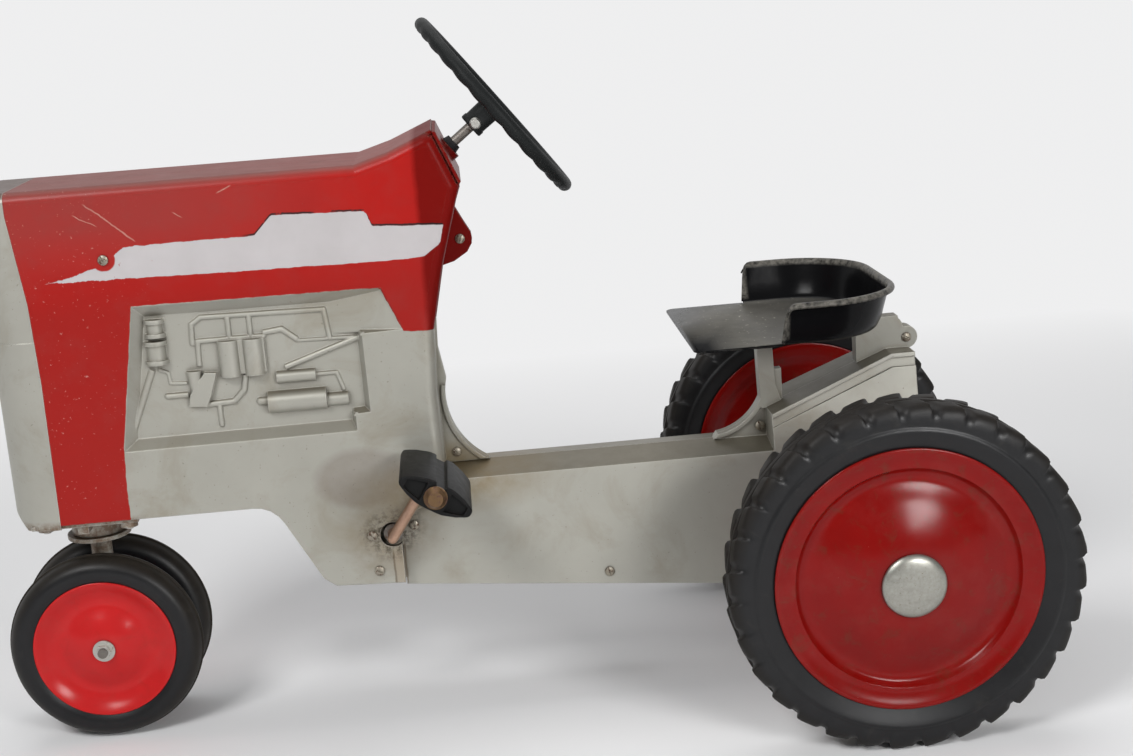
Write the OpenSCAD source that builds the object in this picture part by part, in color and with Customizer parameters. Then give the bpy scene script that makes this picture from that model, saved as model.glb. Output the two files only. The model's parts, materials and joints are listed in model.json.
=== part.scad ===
// Child's pedal tractor with a narrow front end, in cast aluminium halves.
// Forward is -X, the left side is -Y, up is +Z, and the tyres stand on Z = 0.
// The origin is on the floor, midway along the length and on the symmetry plane.
// Every shape below is placed from the front axle: X back, Z up from the floor.

/* [Overall] */
// Distance from the front axle to the rear axle
wheelbase = 735; // [715:1:755]
// Distance from the front axle forward to the tip of the nose
nose_reach = 74; // [70:1:80]
// Distance between the middle planes of the two rear tyres
rear_track = 438; // [420:1:460]
// Distance between the middle planes of the two front tyres
front_track = 64; // [62:1:70]

/* [Wheels] */
// Outer diameter of a rear tyre over its lugs
rear_tyre_d = 316; // [312:1:320]
// Outer diameter of a front tyre
front_tyre_d = 184; // [180:1:188]
// Width of a rear tyre
rear_tyre_w = 52; // [50:1:54]
// Width of a front tyre
front_tyre_w = 36; // [34:1:38]
// Radius of the rim edge of a rear wheel
rear_rim_r = 119; // [117:1:121]
// Radius of the rim edge of a front wheel
front_rim_r = 67.5; // [66:0.5:69]
// Number of tread lugs on each shoulder of a rear tyre
lugs = 32; // [24:1:36]

/* [Body] */
// Width of the hood and engine castings
body_w = 144; // [138:1:150]
// Height of the hood top above the floor
hood_z = 536; // [530:1:540]
// Height of the underside below the engine
belly_z = 226; // [222:1:230]
// Height of the underside at the seam with the rear casting
keel_z = 140; // [136:1:144]
// Distance of the seam with the rear casting behind the front axle
seam_x = 294; // [292:1:298]
// Thickness of the casting walls
wall = 5; // [4:0.5:6]
// Depth of the engine recess in each side
recess_depth = 10; // [8:1:11]

/* [Rear casting] */
// Height of the deck at its outer edges
deck_z = 228; // [224:1:230]
// Half the width of the deck at its outer edges
deck_half_w = 42; // [40:1:46]
// Rise of the deck from its edges to the middle
deck_crown = 7; // [5:0.5:7]
// Sideways lean of the side walls for each unit of height
side_lean = 0.15; // [0.1:0.01:0.2]
// Thickness of one half of the joining flange on the centre plane
flange_w = 5; // [4:0.5:8]

/* [Steering] */
// Diameter of the steering wheel
steering_d = 211; // [205:1:215]
// Tilt of the steering shaft above level
shaft_tilt = 37.6; // [36:0.1:39]
// Diameter of the steering shaft
shaft_d = 9.5; // [9:0.1:10]
// Reach of the bent finger at the lower end of the shaft
finger_reach = 32; // [30:1:34]

/* [Drive] */
// Throw of each crank arm
crank_throw = 80; // [76:1:82]
// Angle of the left crank arm behind the vertical at rest
crank_angle = 35; // [0:1:90]
// Diameter of the crank rod
crank_d = 10; // [9:0.5:11]
// Diameter of the rear axle
rear_axle_d = 12.7; // [12:0.1:13]
// Teeth on the crank sprocket
crank_teeth = 16; // [16:8:16]
// Teeth on the axle sprocket
axle_teeth = 8; // [8:8:8]
// Links in the chain
chain_links = 84; // [84:2:84]

/* [Seat] */
// Width of the seat over its side walls
seat_w = 240; // [230:1:246]
// Height of the seat pan above the floor
seat_z = 346; // [344:1:350]
// Height of the seat rim above the pan
seat_rim_h = 43; // [38:1:46]

/* [Hidden] */
$fn = 48;

rear_r = rear_tyre_d / 2;
front_r = front_tyre_d / 2;
half_w = body_w / 2;
// The origin lies midway between the front of the front tyres and the back of the rear ones
front_axle_x = front_r - (front_r + wheelbase + rear_r) / 2;
// Height at which the front end turns below the bolster
swivel_z = belly_z - 28;
// Running clearance of a shaft in its bore, on the radius
running = 0.05;
// Gap left between pieces that pass each other
gap = 0.4;

// Nose: the front face is upright to nose_knee_z and leans forward above it
nose_foot = 65;
nose_knee_z = 400;
nose_tilt = atan((nose_reach - nose_foot) / (hood_z - nose_knee_z));
nose_corner_r = 40;
// Radius of the long edges of the hood
edge_r = 10;

// Boundary between the grille and the hood, from the bottom up
nose_joint = [[-18, belly_z], [-17, 360], [-19, 434], [-28, 515], [-28, hood_z]];

// Bolster under the nose: its plate and its column
plate_x = [-46, 52];
plate_half_w = half_w - 4;
column_r = 25;

// Dash: the sloping panel that closes the back of the hood
dash_top = [355, 562];
dash_foot = [377, 509];
dash_len = norm(dash_foot - dash_top);
dash_bush_x = 366;
// Point on the dash: s down from its top edge, n out from its face
function on_dash(s, n) = let (u = (dash_foot - dash_top) / dash_len)
    dash_top + s * u + n * [-u[1], u[0]];

// Steering axis: it passes through the middle of the wheel
wheel_hub = [415.5, 575];
axis_dir = [cos(shaft_tilt), sin(shaft_tilt)];
finger_dir = [sin(shaft_tilt), -cos(shaft_tilt)];
function on_axis(x) = [x, wheel_hub[1] + (x - wheel_hub[0]) * tan(shaft_tilt)];
shaft_end = on_axis(20.5);
arm_pin = shaft_end + finger_reach * finger_dir;
arm_t = 4;
arm_slot_w = 12.4;

// Crank and chain
crank = [286.3, 188.5];
rear_axle_at = [wheelbase, rear_r];
left_arm = crank_throw * [sin(crank_angle), cos(crank_angle)];
arm_y = 84;
pin_end_y = 188;
pedal_y0 = 91;
pedal_y1 = 182;
chain_y = 12;
sprocket_t = 3;
roller_r = 3;
drive = rear_axle_at - crank;
drive_len = norm(drive);
drive_angle = atan2(drive[1], drive[0]);
crank_pitch_k = 1 / (2 * sin(180 / crank_teeth));
axle_pitch_k = 1 / (2 * sin(180 / axle_teeth));
// Angle between a straight run and the line of centres, for a given pitch
function run_angle(pitch) = asin(pitch * (crank_pitch_k - axle_pitch_k) / drive_len);
// Links that lie on the crank sprocket and on the axle sprocket
function crank_wrap(a) = crank_teeth * (180 + 2 * a) / 360;
function axle_wrap(a) = axle_teeth * (180 - 2 * a) / 360;
// Pitch at which the chain's links fill the whole loop, from a first guess
function fitted_pitch(guess) = let (a = run_angle(guess))
    2 * drive_len * cos(a) / (chain_links - crank_wrap(a) - axle_wrap(a));
chain_pitch = fitted_pitch(fitted_pitch(12.5));
run_a = run_angle(chain_pitch);
run_links = drive_len * cos(run_a) / chain_pitch;
crank_pitch_r = chain_pitch * crank_pitch_k;
axle_pitch_r = chain_pitch * axle_pitch_k;

// Pressed steel and fittings
sheet_t = 1.6;
disc_mid_y = rear_track / 2;
front_mid_y = front_track / 2;
front_axle_d = 9.5;
hub_face = 33;
spindle_r = 8;
screw_r = 3;
screw_head_r = 4.6;
screw_head_t = 2.4;

module from_front_axle() translate([front_axle_x, 0, 0]) children();

// The right side is the mirror image of the left
module on_side(right) mirror([0, right ? 1 : 0, 0]) children();

// Solid with an outline in the XZ plane, from y0 to y1
module slab(points, y0, y1)
    translate([0, y1, 0]) rotate([90, 0, 0]) linear_extrude(y1 - y0) polygon(points);

// Solid with an outline in the YZ plane, from x0 to x1
module beam(points, x0, x1)
    translate([x0, 0, 0]) rotate([90, 0, 90]) linear_extrude(x1 - x0) polygon(points);

// Round bar along Y at a place in the XZ plane
module pin_y(at, r, y0, y1)
    translate([at[0], y1, at[1]]) rotate([90, 0, 0]) cylinder(r = r, h = y1 - y0);

// Round bar between two places in an XZ plane, with a ball at its far end
module strut(from, to, r, y, ball = 1.03) {
    step = to - from;
    translate([from[0], y, from[1]]) rotate([0, atan2(step[0], step[1]), 0]) {
        cylinder(r = r, h = norm(step));
        translate([0, 0, norm(step)]) sphere(r = ball * r);
    }
}

// Pipe through a row of places in an XZ plane
module pipe_run(points, r, y)
    for (i = [1:len(points) - 1]) strut(points[i - 1], points[i], r, y);

// Places its children with +Z along the steering axis, at a point on it
module along_steering(at)
    translate([at[0], 0, at[1]]) rotate([0, 90 - shaft_tilt, 0]) children();

// Turns its children from the Z axis to the Y axis, towards -Y
module towards_left() rotate([90, 0, 0]) children();

// Outline moved inwards by d, for points listed clockwise
function unit(v) = v / norm(v);
function inward(a, b) = let (u = unit(b - a)) [u[1], -u[0]];
function inset(points, d) = let (n = len(points)) [
    for (i = [0:n - 1])
        let (m1 = inward(points[(i + n - 1) % n], points[i]),
             m2 = inward(points[i], points[(i + 1) % n]))
        points[i] + (m1 + m2) * d / (1 + m1 * m2)
];

// The same for an open line of points
function inset_line(points, d) = let (n = len(points)) [
    for (i = [0:n - 1])
        let (m1 = inward(points[max(i - 1, 0)], points[max(i, 1)]),
             m2 = inward(points[min(i, n - 2)], points[min(i + 1, n - 1)]))
        points[i] + (m1 + m2) * d / (1 + m1 * m2)
];

// Rounded edges of the hood, from the nose over the top and down behind the engine
soft_edge = [
    nose_joint[4], [283, hood_z], [314, 545], dash_top, dash_foot,
    [373, 498], [354, 434], [342, 379], [339, 315], [341, 240], [338, 216]
];

// The rest of the side outline, back along the underside
hard_edge = [
    [312, 211], [297, 201], [seam_x, 192], [seam_x, keel_z],
    [229, keel_z + 3], [218, 151], [187, 209], [182, 216], [175, 222], [167, 225.2],
    [159, belly_z],
    nose_joint[0], nose_joint[1], nose_joint[2], nose_joint[3]
];

// Hollow of the castings: open at the nose, at the underside and at the dash
hollow_outline = [
    [-60, -20], [-60, hood_z - wall], [283, hood_z - wall], [313, 540],
    on_dash(4, -6), on_dash(4, 12), on_dash(dash_len - 4, 12), on_dash(dash_len - 4, -6),
    [366, 494], [348, 430], [337, 379], [334, 315], [336, 240], [332, 222],
    [320, -20]
];

// Engine recess: its rim, and how far in each side slopes from the rim to the floor
recess_rim = [[72, 425], [297, 424], [314, 384], [276, 383], [277, 309], [263, 308], [263, 292],
              [49, 291]];
recess_slopes = [11, 0, 5, 5, 4, 4, 9, 10.3];
ramp_x = [249, 314];

// Flange on the centre plane behind the hood, with its ear and its curved web
web_curve_c = [422, 301];
web_curve_r = 76;
front_flange = [
    [338, deck_z + deck_crown + 0.2], [392, deck_z + deck_crown + 0.2], [348.5, 317], [343, 350],
    [344, 379], [355, 429], [366, 432], [379, 440], [384, 448], [384, 458], [377, 471],
    [371, 483], [372, 500], [367, 490], [351, 434], [339.5, 379], [336.5, 315]
];
front_rib = [[341, 236.5], [395, 236.5], [395, 313], [341, 313]];
ear = [373, 453];
front_web_screw = [352, 245];
rear_web_screw = [650, 245];
lug_screw = [798, 321];

// Screws through the sides
stripe_screw = [53, 470];
bearing_screws = [crank + [-19.5, 0.5], crank + [19.5, 0]];
keel_screw = [270.5, 154];
frame_screw = [489, 127];

// Half width of the rear casting at a height
function frame_half_w(z) = deck_half_w + (deck_z - z) * side_lean;
axle_boss_y = frame_half_w(rear_axle_at[1]) + 6;
frame_low = 80;
frame_high = 350;
frame_start = 252;
frame_end = 800;

// Cross-section of the rear casting, t inside its faces
function frame_section(t) = [
    [-frame_half_w(frame_low) + t, frame_low], [-frame_half_w(frame_high) + t, frame_high],
    [frame_half_w(frame_high) - t, frame_high], [frame_half_w(frame_low) - t, frame_low]
];

// Side outline of the rear casting: a long deck, then the arms that hold the axle
arm_front = 657;
arm_foot_z = 263;
arm_top = [777, 311];
frame_side = [
    [frame_start, 143], [frame_start, deck_z + deck_crown], [arm_front, deck_z + deck_crown],
    [arm_front, arm_foot_z], arm_top, [frame_end, arm_top[1]],
    [frame_end, 126], [788, 112], [690, 97], [600, 105],
    [seam_x + 0.3, 133], [seam_x + 0.3, 139.5]
];
frame_hollow = [
    [frame_start - 10, 40], [frame_start - 10, deck_z + deck_crown],
    [arm_front + wall, deck_z + deck_crown],
    [arm_front + wall, arm_foot_z - wall + 1], arm_top - [-1, wall],
    [frame_end - wall, arm_top[1] - wall], [frame_end - wall, 40]
];

// Seat bucket: back of its pan, corner radius there, and outward lean of the walls
seat_back = 762;
seat_corner_r = 66;
seat_lean = 0.28;

// Flange, pillar and lug on the centre plane of the rear casting
rear_web_c = [600, 296];
rear_web_r = 57;
pillar = [[652, 262], [650, seat_z - 3], [665, seat_z - 3], [667, 285], [674, 262]];
lug_post = [[748, 298], [748, seat_z - 3], [790, seat_z - 3], [800, 306]];
post_w = 8;
// Bolts between the pillars and the seat
seat_bolts_at = [for (x = [658.5, 753], y = [-4.5, 4.5]) [x, y]];
seat_bolt_r = 2;
rear_web = [[604, deck_z + deck_crown - 1], [653, 300], [674, 300], [674, deck_z]];
lug_ear = [783, 331];

// Solid left under the sloping side on edge i of the recess
module recess_side(i, lip) {
    from = recess_rim[i];
    edge = recess_rim[(i + 1) % len(recess_rim)] - from;
    run = recess_slopes[i] / (recess_depth - lip);
    translate([from[0], -half_w, from[1]]) rotate([0, -atan2(edge[1], edge[0]), 0])
        beam([[lip - 2 / run, 2], [recess_depth + 1, 2],
              [recess_depth + 1, -run * (recess_depth + 1 - lip)]], -1.5, norm(edge) + 1.7);
}

// Space of the engine recess, with its sloping sides and the long ramp at its back
module recess_space() {
    lip = 0.4;
    difference() {
        slab(recess_rim, -half_w - 1, -half_w + recess_depth);
        for (i = [0, 2, 3, 4, 5, 6, 7]) recess_side(i, lip);
        translate([0, -half_w, recess_rim[3][1] + 0.6]) linear_extrude(80) polygon([
            [ramp_x[0], recess_depth], [ramp_x[1], lip], [ramp_x[1] + 10, lip],
            [ramp_x[1] + 10, recess_depth + 1], [ramp_x[0], recess_depth + 1]
        ]);
    }
}

// Engine details that stand out from the floor of the recess
module engine_relief() {
    y = -half_w + recess_depth;
    // Pulley stack at the front of the engine
    for (spool = [[89, 394, 17, 9], [88, 369, 22, 10.5]])
        translate([spool[0], y, spool[1]]) {
            cylinder(r = spool[3] - 2, h = spool[2]);
            for (z = [0, spool[2] - 4]) translate([0, 0, z]) cylinder(r = spool[3], h = 4);
        }
    strut([82, 364], [56, 304], 3.6, y + 1);
    // Long pipe over the top, with two drops
    pipe_run([[121, 384], [122, 403], [131, 409], [243, 407], [246, 380]], 2.6, y);
    for (x = [155, 174.5]) strut([x, 407], [x, 388], 2.6, y);
    // Manifold, its elbow and the rail beside it
    pipe_run([[125, 364], [126, 387], [186, 387]], 2.6, y);
    pipe_run([[186, 390], [203, 392], [215, 382]], 3, y);
    strut([215, 380], [270, 379], 1.8, y);
    // Two cylinders on a block
    for (x = [153, 175.5]) translate([x, y, 352]) cylinder(r = 10, h = 34);
    slab([[145, 354], [145, 386], [186, 386], [186, 354]], y - 4, y + 1);
    // Drain pipe
    pipe_run([[166, 352], [163, 338], [153, 328], [126, 327]], 3, y);
    strut([139, 326], [139, 307], 2.6, y);
    // Carburettor with its funnel and its linkage
    translate([119.5, y, 340]) cylinder(r1 = 5, r2 = 7.5, h = 20);
    slab([[112, 327], [114, 338], [129, 358], [140, 357], [133, 336], [128, 326]], y - 5, y + 1);
    pipe_run([[88, 364], [96, 360], [97, 350], [111, 349]], 1.8, y);
    strut([112, 338], [93, 338], 3, y);
    // Filter, canister and the long rod behind them
    strut([203, 356], [271, 378], 3, y);
    translate([194, y, 347]) rotate([0, 90, 0]) cylinder(r = 6, h = 36);
    pipe_run([[230, 347], [249, 347], [254, 331]], 2.2, y);
    translate([184, y, 324]) rotate([0, 90, 0]) cylinder(r = 10.5, h = 54);
    translate([238, y, 322]) rotate([0, 90, 0]) cylinder(r = 6.5, h = 20);
    strut([184, 326], [177, 326], 4, y);
}

// Left half of the hood and engine block, with its long edges rounded
module front_block() {
    inner_edge = inset_line(soft_edge, edge_r);
    slab(concat(soft_edge, hard_edge), -half_w + edge_r, 0);
    slab(concat(inner_edge, hard_edge), -half_w, -half_w + edge_r);
    for (i = [1:len(inner_edge) - 1])
        strut(inner_edge[i - 1], inner_edge[i], 0.995 * edge_r, -half_w + edge_r, 1.001);
}

// Left half of the hood and engine casting, to the centre plane
module front_half() {
    difference() {
        union() {
            difference() {
                front_block();
                slab(hollow_outline, -half_w + wall, 1);
                // Way through for the rear casting
                frame_block([[240, 80], [240, 260], [360, 260], [360, 80]], -gap);
            }
            // Wall behind the engine recess
            slab(inset(recess_rim, -3), -half_w + 1, -half_w + recess_depth + 3.5);
            // Return wall at the seam
            slab([[seam_x - 8, keel_z], [seam_x - 8, 172], [seam_x, 172], [seam_x, keel_z]],
                 -half_w + 1, -frame_half_w(keel_z) - 1);
            // Joining flange with its ear, and its curved web with a rib along the curve
            difference() {
                union() {
                    slab(front_flange, -flange_w, 0);
                    intersection() {
                        slab(front_rib, -flange_w - 3, -1);
                        pin_y(web_curve_c, web_curve_r + 4, -half_w, 0);
                    }
                }
                pin_y(web_curve_c, web_curve_r, -half_w, 1);
            }
            pin_y(ear, 11.5, -flange_w, 0);
            // Screw bosses
            pin_y(stripe_screw, 7, -half_w + 1, 0);
            pin_y(bearing_screws[0], 6.5, -half_w + 1, -frame_half_w(180) - 0.6);
            pin_y(keel_screw, 6.5, -half_w + 1, -frame_half_w(148) - 0.6);
            translate([42, -half_w + 12, belly_z]) cylinder(r = 9, h = 22);
        }
        recess_space();
        pin_y(crank, 12, -half_w - 1, -half_w + wall + 9);
        for (at = [stripe_screw, bearing_screws[0], keel_screw])
            pin_y(at, screw_r, -half_w - 1, 1);
        for (at = [ear, front_web_screw]) pin_y(at, screw_r, -half_w, 1);
        translate([42, -half_w + 12, belly_z - 1]) cylinder(r = screw_r, h = 18);
    }
    engine_relief();
}

module front_casting_left() color("firebrick") from_front_axle() front_half();

module front_casting_right() color("firebrick") from_front_axle() on_side(true) front_half();

// Block of the frame's cross-section, t inside its faces, with its deck falling to each side
module frame_block(outline, t) {
    difference() {
        intersection() {
            slab(outline, -100, t > 0 ? 1 : 0);
            beam(frame_section(t), frame_start - 20, frame_end + 20);
        }
        translate([0, 0, -t]) beam([
            [-2 * deck_half_w, deck_z - deck_crown], [0, deck_z + deck_crown],
            [2, deck_z + deck_crown], [2, frame_high], [-2 * deck_half_w, frame_high]
        ], frame_start - 30, arm_front + t);
    }
}

// Raised border and panel on the side of each arm, with a groove between them
module arm_relief() {
    border = 4;
    groove = 9;
    top = [[arm_front, arm_foot_z], arm_top, [frame_end, arm_top[1]]];
    panel_top = [for (q = top) q - [0, border + groove]];
    intersection() {
        union() {
            slab(concat(top, [for (i = [2:-1:0]) top[i] - [0, border]]), -100, 0);
            slab(concat(panel_top, [[frame_end, 126], [788, 112], [690, 97], [arm_front, 100.6]]),
                 -100, 0);
        }
        difference() {
            beam(frame_section(-2.5), arm_front, frame_end);
            beam(frame_section(1), arm_front - 1, frame_end + 1);
        }
    }
}

module rear_half() {
    difference() {
        union() {
            difference() {
                frame_block(frame_side, 0);
                frame_block(frame_hollow, 4);
            }
            arm_relief();
            // Web, pillar and lug on the centre plane
            difference() {
                union() {
                    slab(rear_web, -flange_w, 0);
                    intersection() {
                        slab(rear_web, -flange_w - 3, 0);
                        pin_y(rear_web_c, rear_web_r + 4, -100, 0);
                    }
                }
                pin_y(rear_web_c, rear_web_r, -100, 1);
            }
            for (post = [pillar, lug_post]) slab(post, -post_w, 0);
            pin_y(lug_ear, 12, -post_w, 0);
            pin_y(lug_screw, 11, -post_w, 0);
            // Bosses that carry the screws and the axle
            pin_y(frame_screw, 7, -frame_half_w(127) + 2, 0);
            pin_y(rear_axle_at, 20, -axle_boss_y, -frame_half_w(140) + 8);
        }
        pin_y(crank, 9, -100, 1);
        pin_y(rear_axle_at, 11, -100, 1);
        for (at = concat(bearing_screws, [keel_screw, frame_screw, rear_web_screw, lug_screw]))
            pin_y(at, screw_r, -100, 1);
        for (at = seat_bolts_at) translate([at[0], at[1], seat_z - 20])
            cylinder(r = seat_bolt_r, h = 30);
    }
}

module rear_casting_left() color("silver") from_front_axle() rear_half();

module rear_casting_right() color("silver") from_front_axle() on_side(true) rear_half();

// Plan of the nose with rounded front corners
module nose_plan(front, half, r) {
    translate([-front + r, -half]) square([front - r + 10, 2 * half]);
    translate([-front, -half + r]) square([r + 1, 2 * (half - r)]);
    for (side = [-1, 1]) translate([-front + r, side * (half - r)]) circle(r = r);
}

// Nose block: upright below the knee, and a little slimmer and leaning forward above it
module nose_block(t) {
    slim = 0.3;
    translate([0, 0, belly_z - 5]) linear_extrude(nose_knee_z - belly_z + 5)
        nose_plan(nose_foot - t, half_w - t, nose_corner_r - t);
    translate([-nose_foot, 0, nose_knee_z]) rotate([0, -nose_tilt, 0])
        translate([nose_foot, 0, -8]) linear_extrude(hood_z - nose_knee_z + 30)
            nose_plan(nose_foot - t - slim, half_w - t - slim, nose_corner_r - t);
}

module nose_grille() color("silver") from_front_axle() {
    front_x = -nose_reach - 20;
    low = belly_z - 4;
    outline = concat([[nose_joint[0][0], low]], nose_joint, [
        [-nose_reach + 7, hood_z], [-nose_reach, hood_z - 7], [front_x, hood_z - 20],
        [front_x, belly_z + 60], [-nose_foot - 1, low + 19], [-nose_foot + 15, low]
    ]);
    hollow = [[5, belly_z + 20], [5, hood_z - wall], [front_x, hood_z - wall],
              [front_x, belly_z + 20]];
    groove = [[front_x, belly_z + 45], [front_x, 500], [2.5 - nose_foot - 100 * tan(nose_tilt), 500],
              [2.5 - nose_foot, nose_knee_z], [2.5 - nose_foot, belly_z + 45]];
    difference() {
        intersection() {
            nose_block(0);
            slab(outline, -100, 100);
            // Long edges rounded like those of the hood
            translate([-100, 0, 0]) rotate([90, 0, 90]) linear_extrude(100) union() {
                translate([-half_w, 100]) square([body_w, hood_z - edge_r - 100]);
                translate([-half_w + edge_r, 200]) square([body_w - 2 * edge_r, hood_z - 200]);
                for (side = [-1, 1]) translate([side * (half_w - edge_r), hood_z - edge_r])
                    circle(r = edge_r);
            }
        }
        intersection() {
            nose_block(wall);
            slab(hollow, -100, 100);
        }
        // Grooves between the bars of the grille
        for (y = [-33:11:33]) slab(groove, y - 3, y + 3);
        // Room for the bolster's column and plate, and holes for its front screws
        translate([0, 0, low - 1]) cylinder(r = column_r + gap, h = 16);
        translate([plate_x[0] - gap, -plate_half_w - gap, low - 1])
            cube([plate_x[1] - plate_x[0], 2 * (plate_half_w + gap), 5]);
        for (side = [-1, 1]) translate([-36, side * 52, low - 1]) cylinder(r = screw_r, h = 20);
    }
}

module dash_panel() color("firebrick") from_front_axle() {
    bush_at = on_axis(dash_bush_x);
    difference() {
        union() {
            // Plug inside the opening, and the raised plate over it
            slab([on_dash(4.2, -5), on_dash(4.2, -1.5), on_dash(dash_len - 4.2, -1.5),
                  on_dash(dash_len - 4.2, -5)], -half_w + wall + 0.2, half_w - wall - 0.2);
            slab([on_dash(4.6, -4), on_dash(4.6, 1), on_dash(dash_len - 4.6, 1),
                  on_dash(dash_len - 4.6, -4)], -half_w + edge_r, half_w - edge_r);
            slab([on_dash(1.5, 0), on_dash(3.5, 3), on_dash(dash_len - 3.5, 3),
                  on_dash(dash_len - 1.5, 0)], -half_w + edge_r - 2, half_w - edge_r + 2);
            along_steering(bush_at) translate([0, 0, -8]) cylinder(r = 13, h = 14);
        }
        along_steering(bush_at) translate([0, 0, -30]) cylinder(r = 7.5, h = 60);
    }
}

module steering_bush() color("black") from_front_axle() along_steering(on_axis(dash_bush_x))
    difference() {
        union() {
            translate([0, 0, -10]) cylinder(r = 7.5, h = 18);
            translate([0, 0, 6]) cylinder(r1 = 9, r2 = 7.6, h = 6);
        }
        translate([0, 0, -20]) cylinder(r = shaft_d / 2 + running, h = 40);
    }

module steering_bracket() color("dimgray") from_front_axle() {
    at = on_axis(35);
    difference() {
        union() {
            translate([at[0] - 4, -half_w + wall, at[1] - 8]) cube([8, body_w - 2 * wall, 16]);
            along_steering(at) translate([0, 0, -8]) cylinder(r = 10, h = 16);
        }
        along_steering(at) translate([0, 0, -30]) cylinder(r = shaft_d / 2 + running, h = 60);
    }
}

module bolster() color("silver") from_front_axle() {
    difference() {
        union() {
            translate([0, 0, swivel_z]) cylinder(r = column_r, h = 38);
            translate([plate_x[0], -plate_half_w, belly_z - 4])
                cube([plate_x[1] - plate_x[0], 2 * plate_half_w, 4]);
            for (x = [-36, 42], side = [-1, 1])
                translate([x, side * (x < 0 ? 52 : half_w - 12), belly_z - 9]) cylinder(r = 8, h = 9);
            translate([-36, -5, belly_z - 12]) cube([78, 10, 10]);
            translate([-5, -half_w + 8, belly_z - 12]) cube([10, body_w - 16, 10]);
        }
        translate([0, 0, belly_z - 40]) cylinder(r = spindle_r + running, h = 80);
        for (x = [-36, 42], side = [-1, 1])
            translate([x, side * (x < 0 ? 52 : half_w - 12), belly_z - 20])
                cylinder(r = screw_r, h = 40);
    }
}

// Round-headed screw with its head at z = 0 and its shank down to -length
module screw(length) {
    translate([0, 0, -length]) cylinder(r = screw_r, h = length);
    cylinder(r1 = screw_head_r, r2 = screw_head_r - 1.2, h = screw_head_t);
}

// The same screw along +Y, with its head on a face at y
module side_screw(at, y, length) translate([at[0], y, at[1]]) towards_left() screw(length);

module bolster_screws() color("gainsboro") from_front_axle()
    for (x = [-36, 42], side = [-1, 1])
        translate([x, side * (x < 0 ? 52 : half_w - 12), belly_z - 9]) rotate([180, 0, 0]) screw(22);

module casting_screws() color("gainsboro") from_front_axle() for (right = [false, true]) on_side(right) {
    side_screw(stripe_screw, -half_w, 60);
    side_screw(bearing_screws[0], -half_w, half_w - frame_half_w(188) + 10);
    side_screw(bearing_screws[1], -frame_half_w(188) - 0.7, 12);
    side_screw(keel_screw, -half_w, half_w - frame_half_w(154) + 5);
    side_screw(frame_screw, -frame_half_w(frame_screw[1]) - 0.7, 40);
}

// Screws through the flanges, with a nut on the right side
module flange_screws() color("gainsboro") from_front_axle() {
    for (spec = [[ear, flange_w], [front_web_screw, flange_w], [rear_web_screw, flange_w + 3],
                 [lug_screw, flange_w + 3]]) {
        side_screw(spec[0], -spec[1], 2 * spec[1] + 5);
        translate([spec[0][0], spec[1] + 4, spec[0][1]]) towards_left()
            cylinder(r = 5.5, h = 4, $fn = 6);
    }
}

// Bucket of the seat from z0 up to z1, its walls leaning outwards above the pan
module seat_bucket(grow, z0, z1) {
    function out(z) = grow + (z - seat_z) * seat_lean;
    centre_x = seat_back - seat_corner_r;
    straight = seat_w / 2 - seat_rim_h * seat_lean - seat_corner_r;
    beam([for (p = [[-1, z0], [-1, z1], [1, z1], [1, z0]])
             [p[0] * (straight + seat_corner_r + out(p[1])), p[1]]], 657, centre_x);
    slab([for (p = [[0, z0], [0, z1], [1, z1], [1, z0]])
             [p[0] == 0 ? 657 : seat_back + out(p[1]), p[1]]], -straight, straight);
    for (side = [-1, 1]) translate([centre_x, side * straight, z0])
        cylinder(r1 = seat_corner_r + out(z0), r2 = seat_corner_r + out(z1), h = z1 - z0);
}

module seat() color("dimgray") from_front_axle() {
    pan_t = 3;
    rim_z = seat_z + seat_rim_h - pan_t;
    difference() {
        union() {
            seat_bucket(0, seat_z - pan_t, rim_z);
            // Rolled lip around the rim
            seat_bucket(4, rim_z - 5, rim_z - 0.5);
            // Flat pan in front of the side walls
            translate([0, 0, seat_z - pan_t]) linear_extrude(pan_t) polygon([
                [577, -97], [577, 97], [586, 106], [659, 107], [659, -107], [586, -106]
            ]);
        }
        seat_bucket(-2.5, seat_z, rim_z + 1);
        // The bucket is open towards the front, and the side walls start with a slant
        slab([[560, seat_z], [657.5, seat_z], [664, rim_z + 10], [560, rim_z + 10]],
             -seat_w, seat_w);
        for (at = seat_bolts_at) translate([at[0], at[1], seat_z]) {
            translate([0, 0, -10]) cylinder(r = seat_bolt_r, h = 20);
            translate([0, 0, -2.2]) cylinder(r1 = seat_bolt_r, r2 = seat_bolt_r + 2.4, h = 2.4);
        }
    }
}

// Countersunk, so that the pan stays flat
module seat_bolts() color("gainsboro") from_front_axle() for (at = seat_bolts_at)
    translate([at[0], at[1], seat_z]) {
        translate([0, 0, -19]) cylinder(r = seat_bolt_r, h = 18);
        translate([0, 0, -2.2]) cylinder(r1 = seat_bolt_r, r2 = seat_bolt_r + 2, h = 2);
    }

// Flanged bush that carries the crank inside one wall of the rear casting
module crank_bearing() {
    inner = frame_half_w(crank[1] + 10) - 4.1;
    difference() {
        union() {
            translate([crank[0] - 27, -inner, crank[1] - 10]) cube([54, 3, 20]);
            pin_y(crank, 9, -half_w + 4, -inner + 10);
        }
        pin_y(crank, crank_d / 2 + running, -100, 0);
        for (at = bearing_screws) pin_y(at, screw_r, -100, 0);
    }
}

module crank_bearing_left() color("dimgray") from_front_axle() crank_bearing();

module crank_bearing_right() color("dimgray") from_front_axle() on_side(true) crank_bearing();

module axle_bearing() difference() {
    union() {
        pin_y(rear_axle_at, 11, -axle_boss_y - 1, -axle_boss_y + 18);
        pin_y(rear_axle_at, 15, -axle_boss_y - 4, -axle_boss_y);
    }
    pin_y(rear_axle_at, rear_axle_d / 2 + running, -100, 0);
}

module axle_bearing_left() color("dimgray") from_front_axle() axle_bearing();

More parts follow.
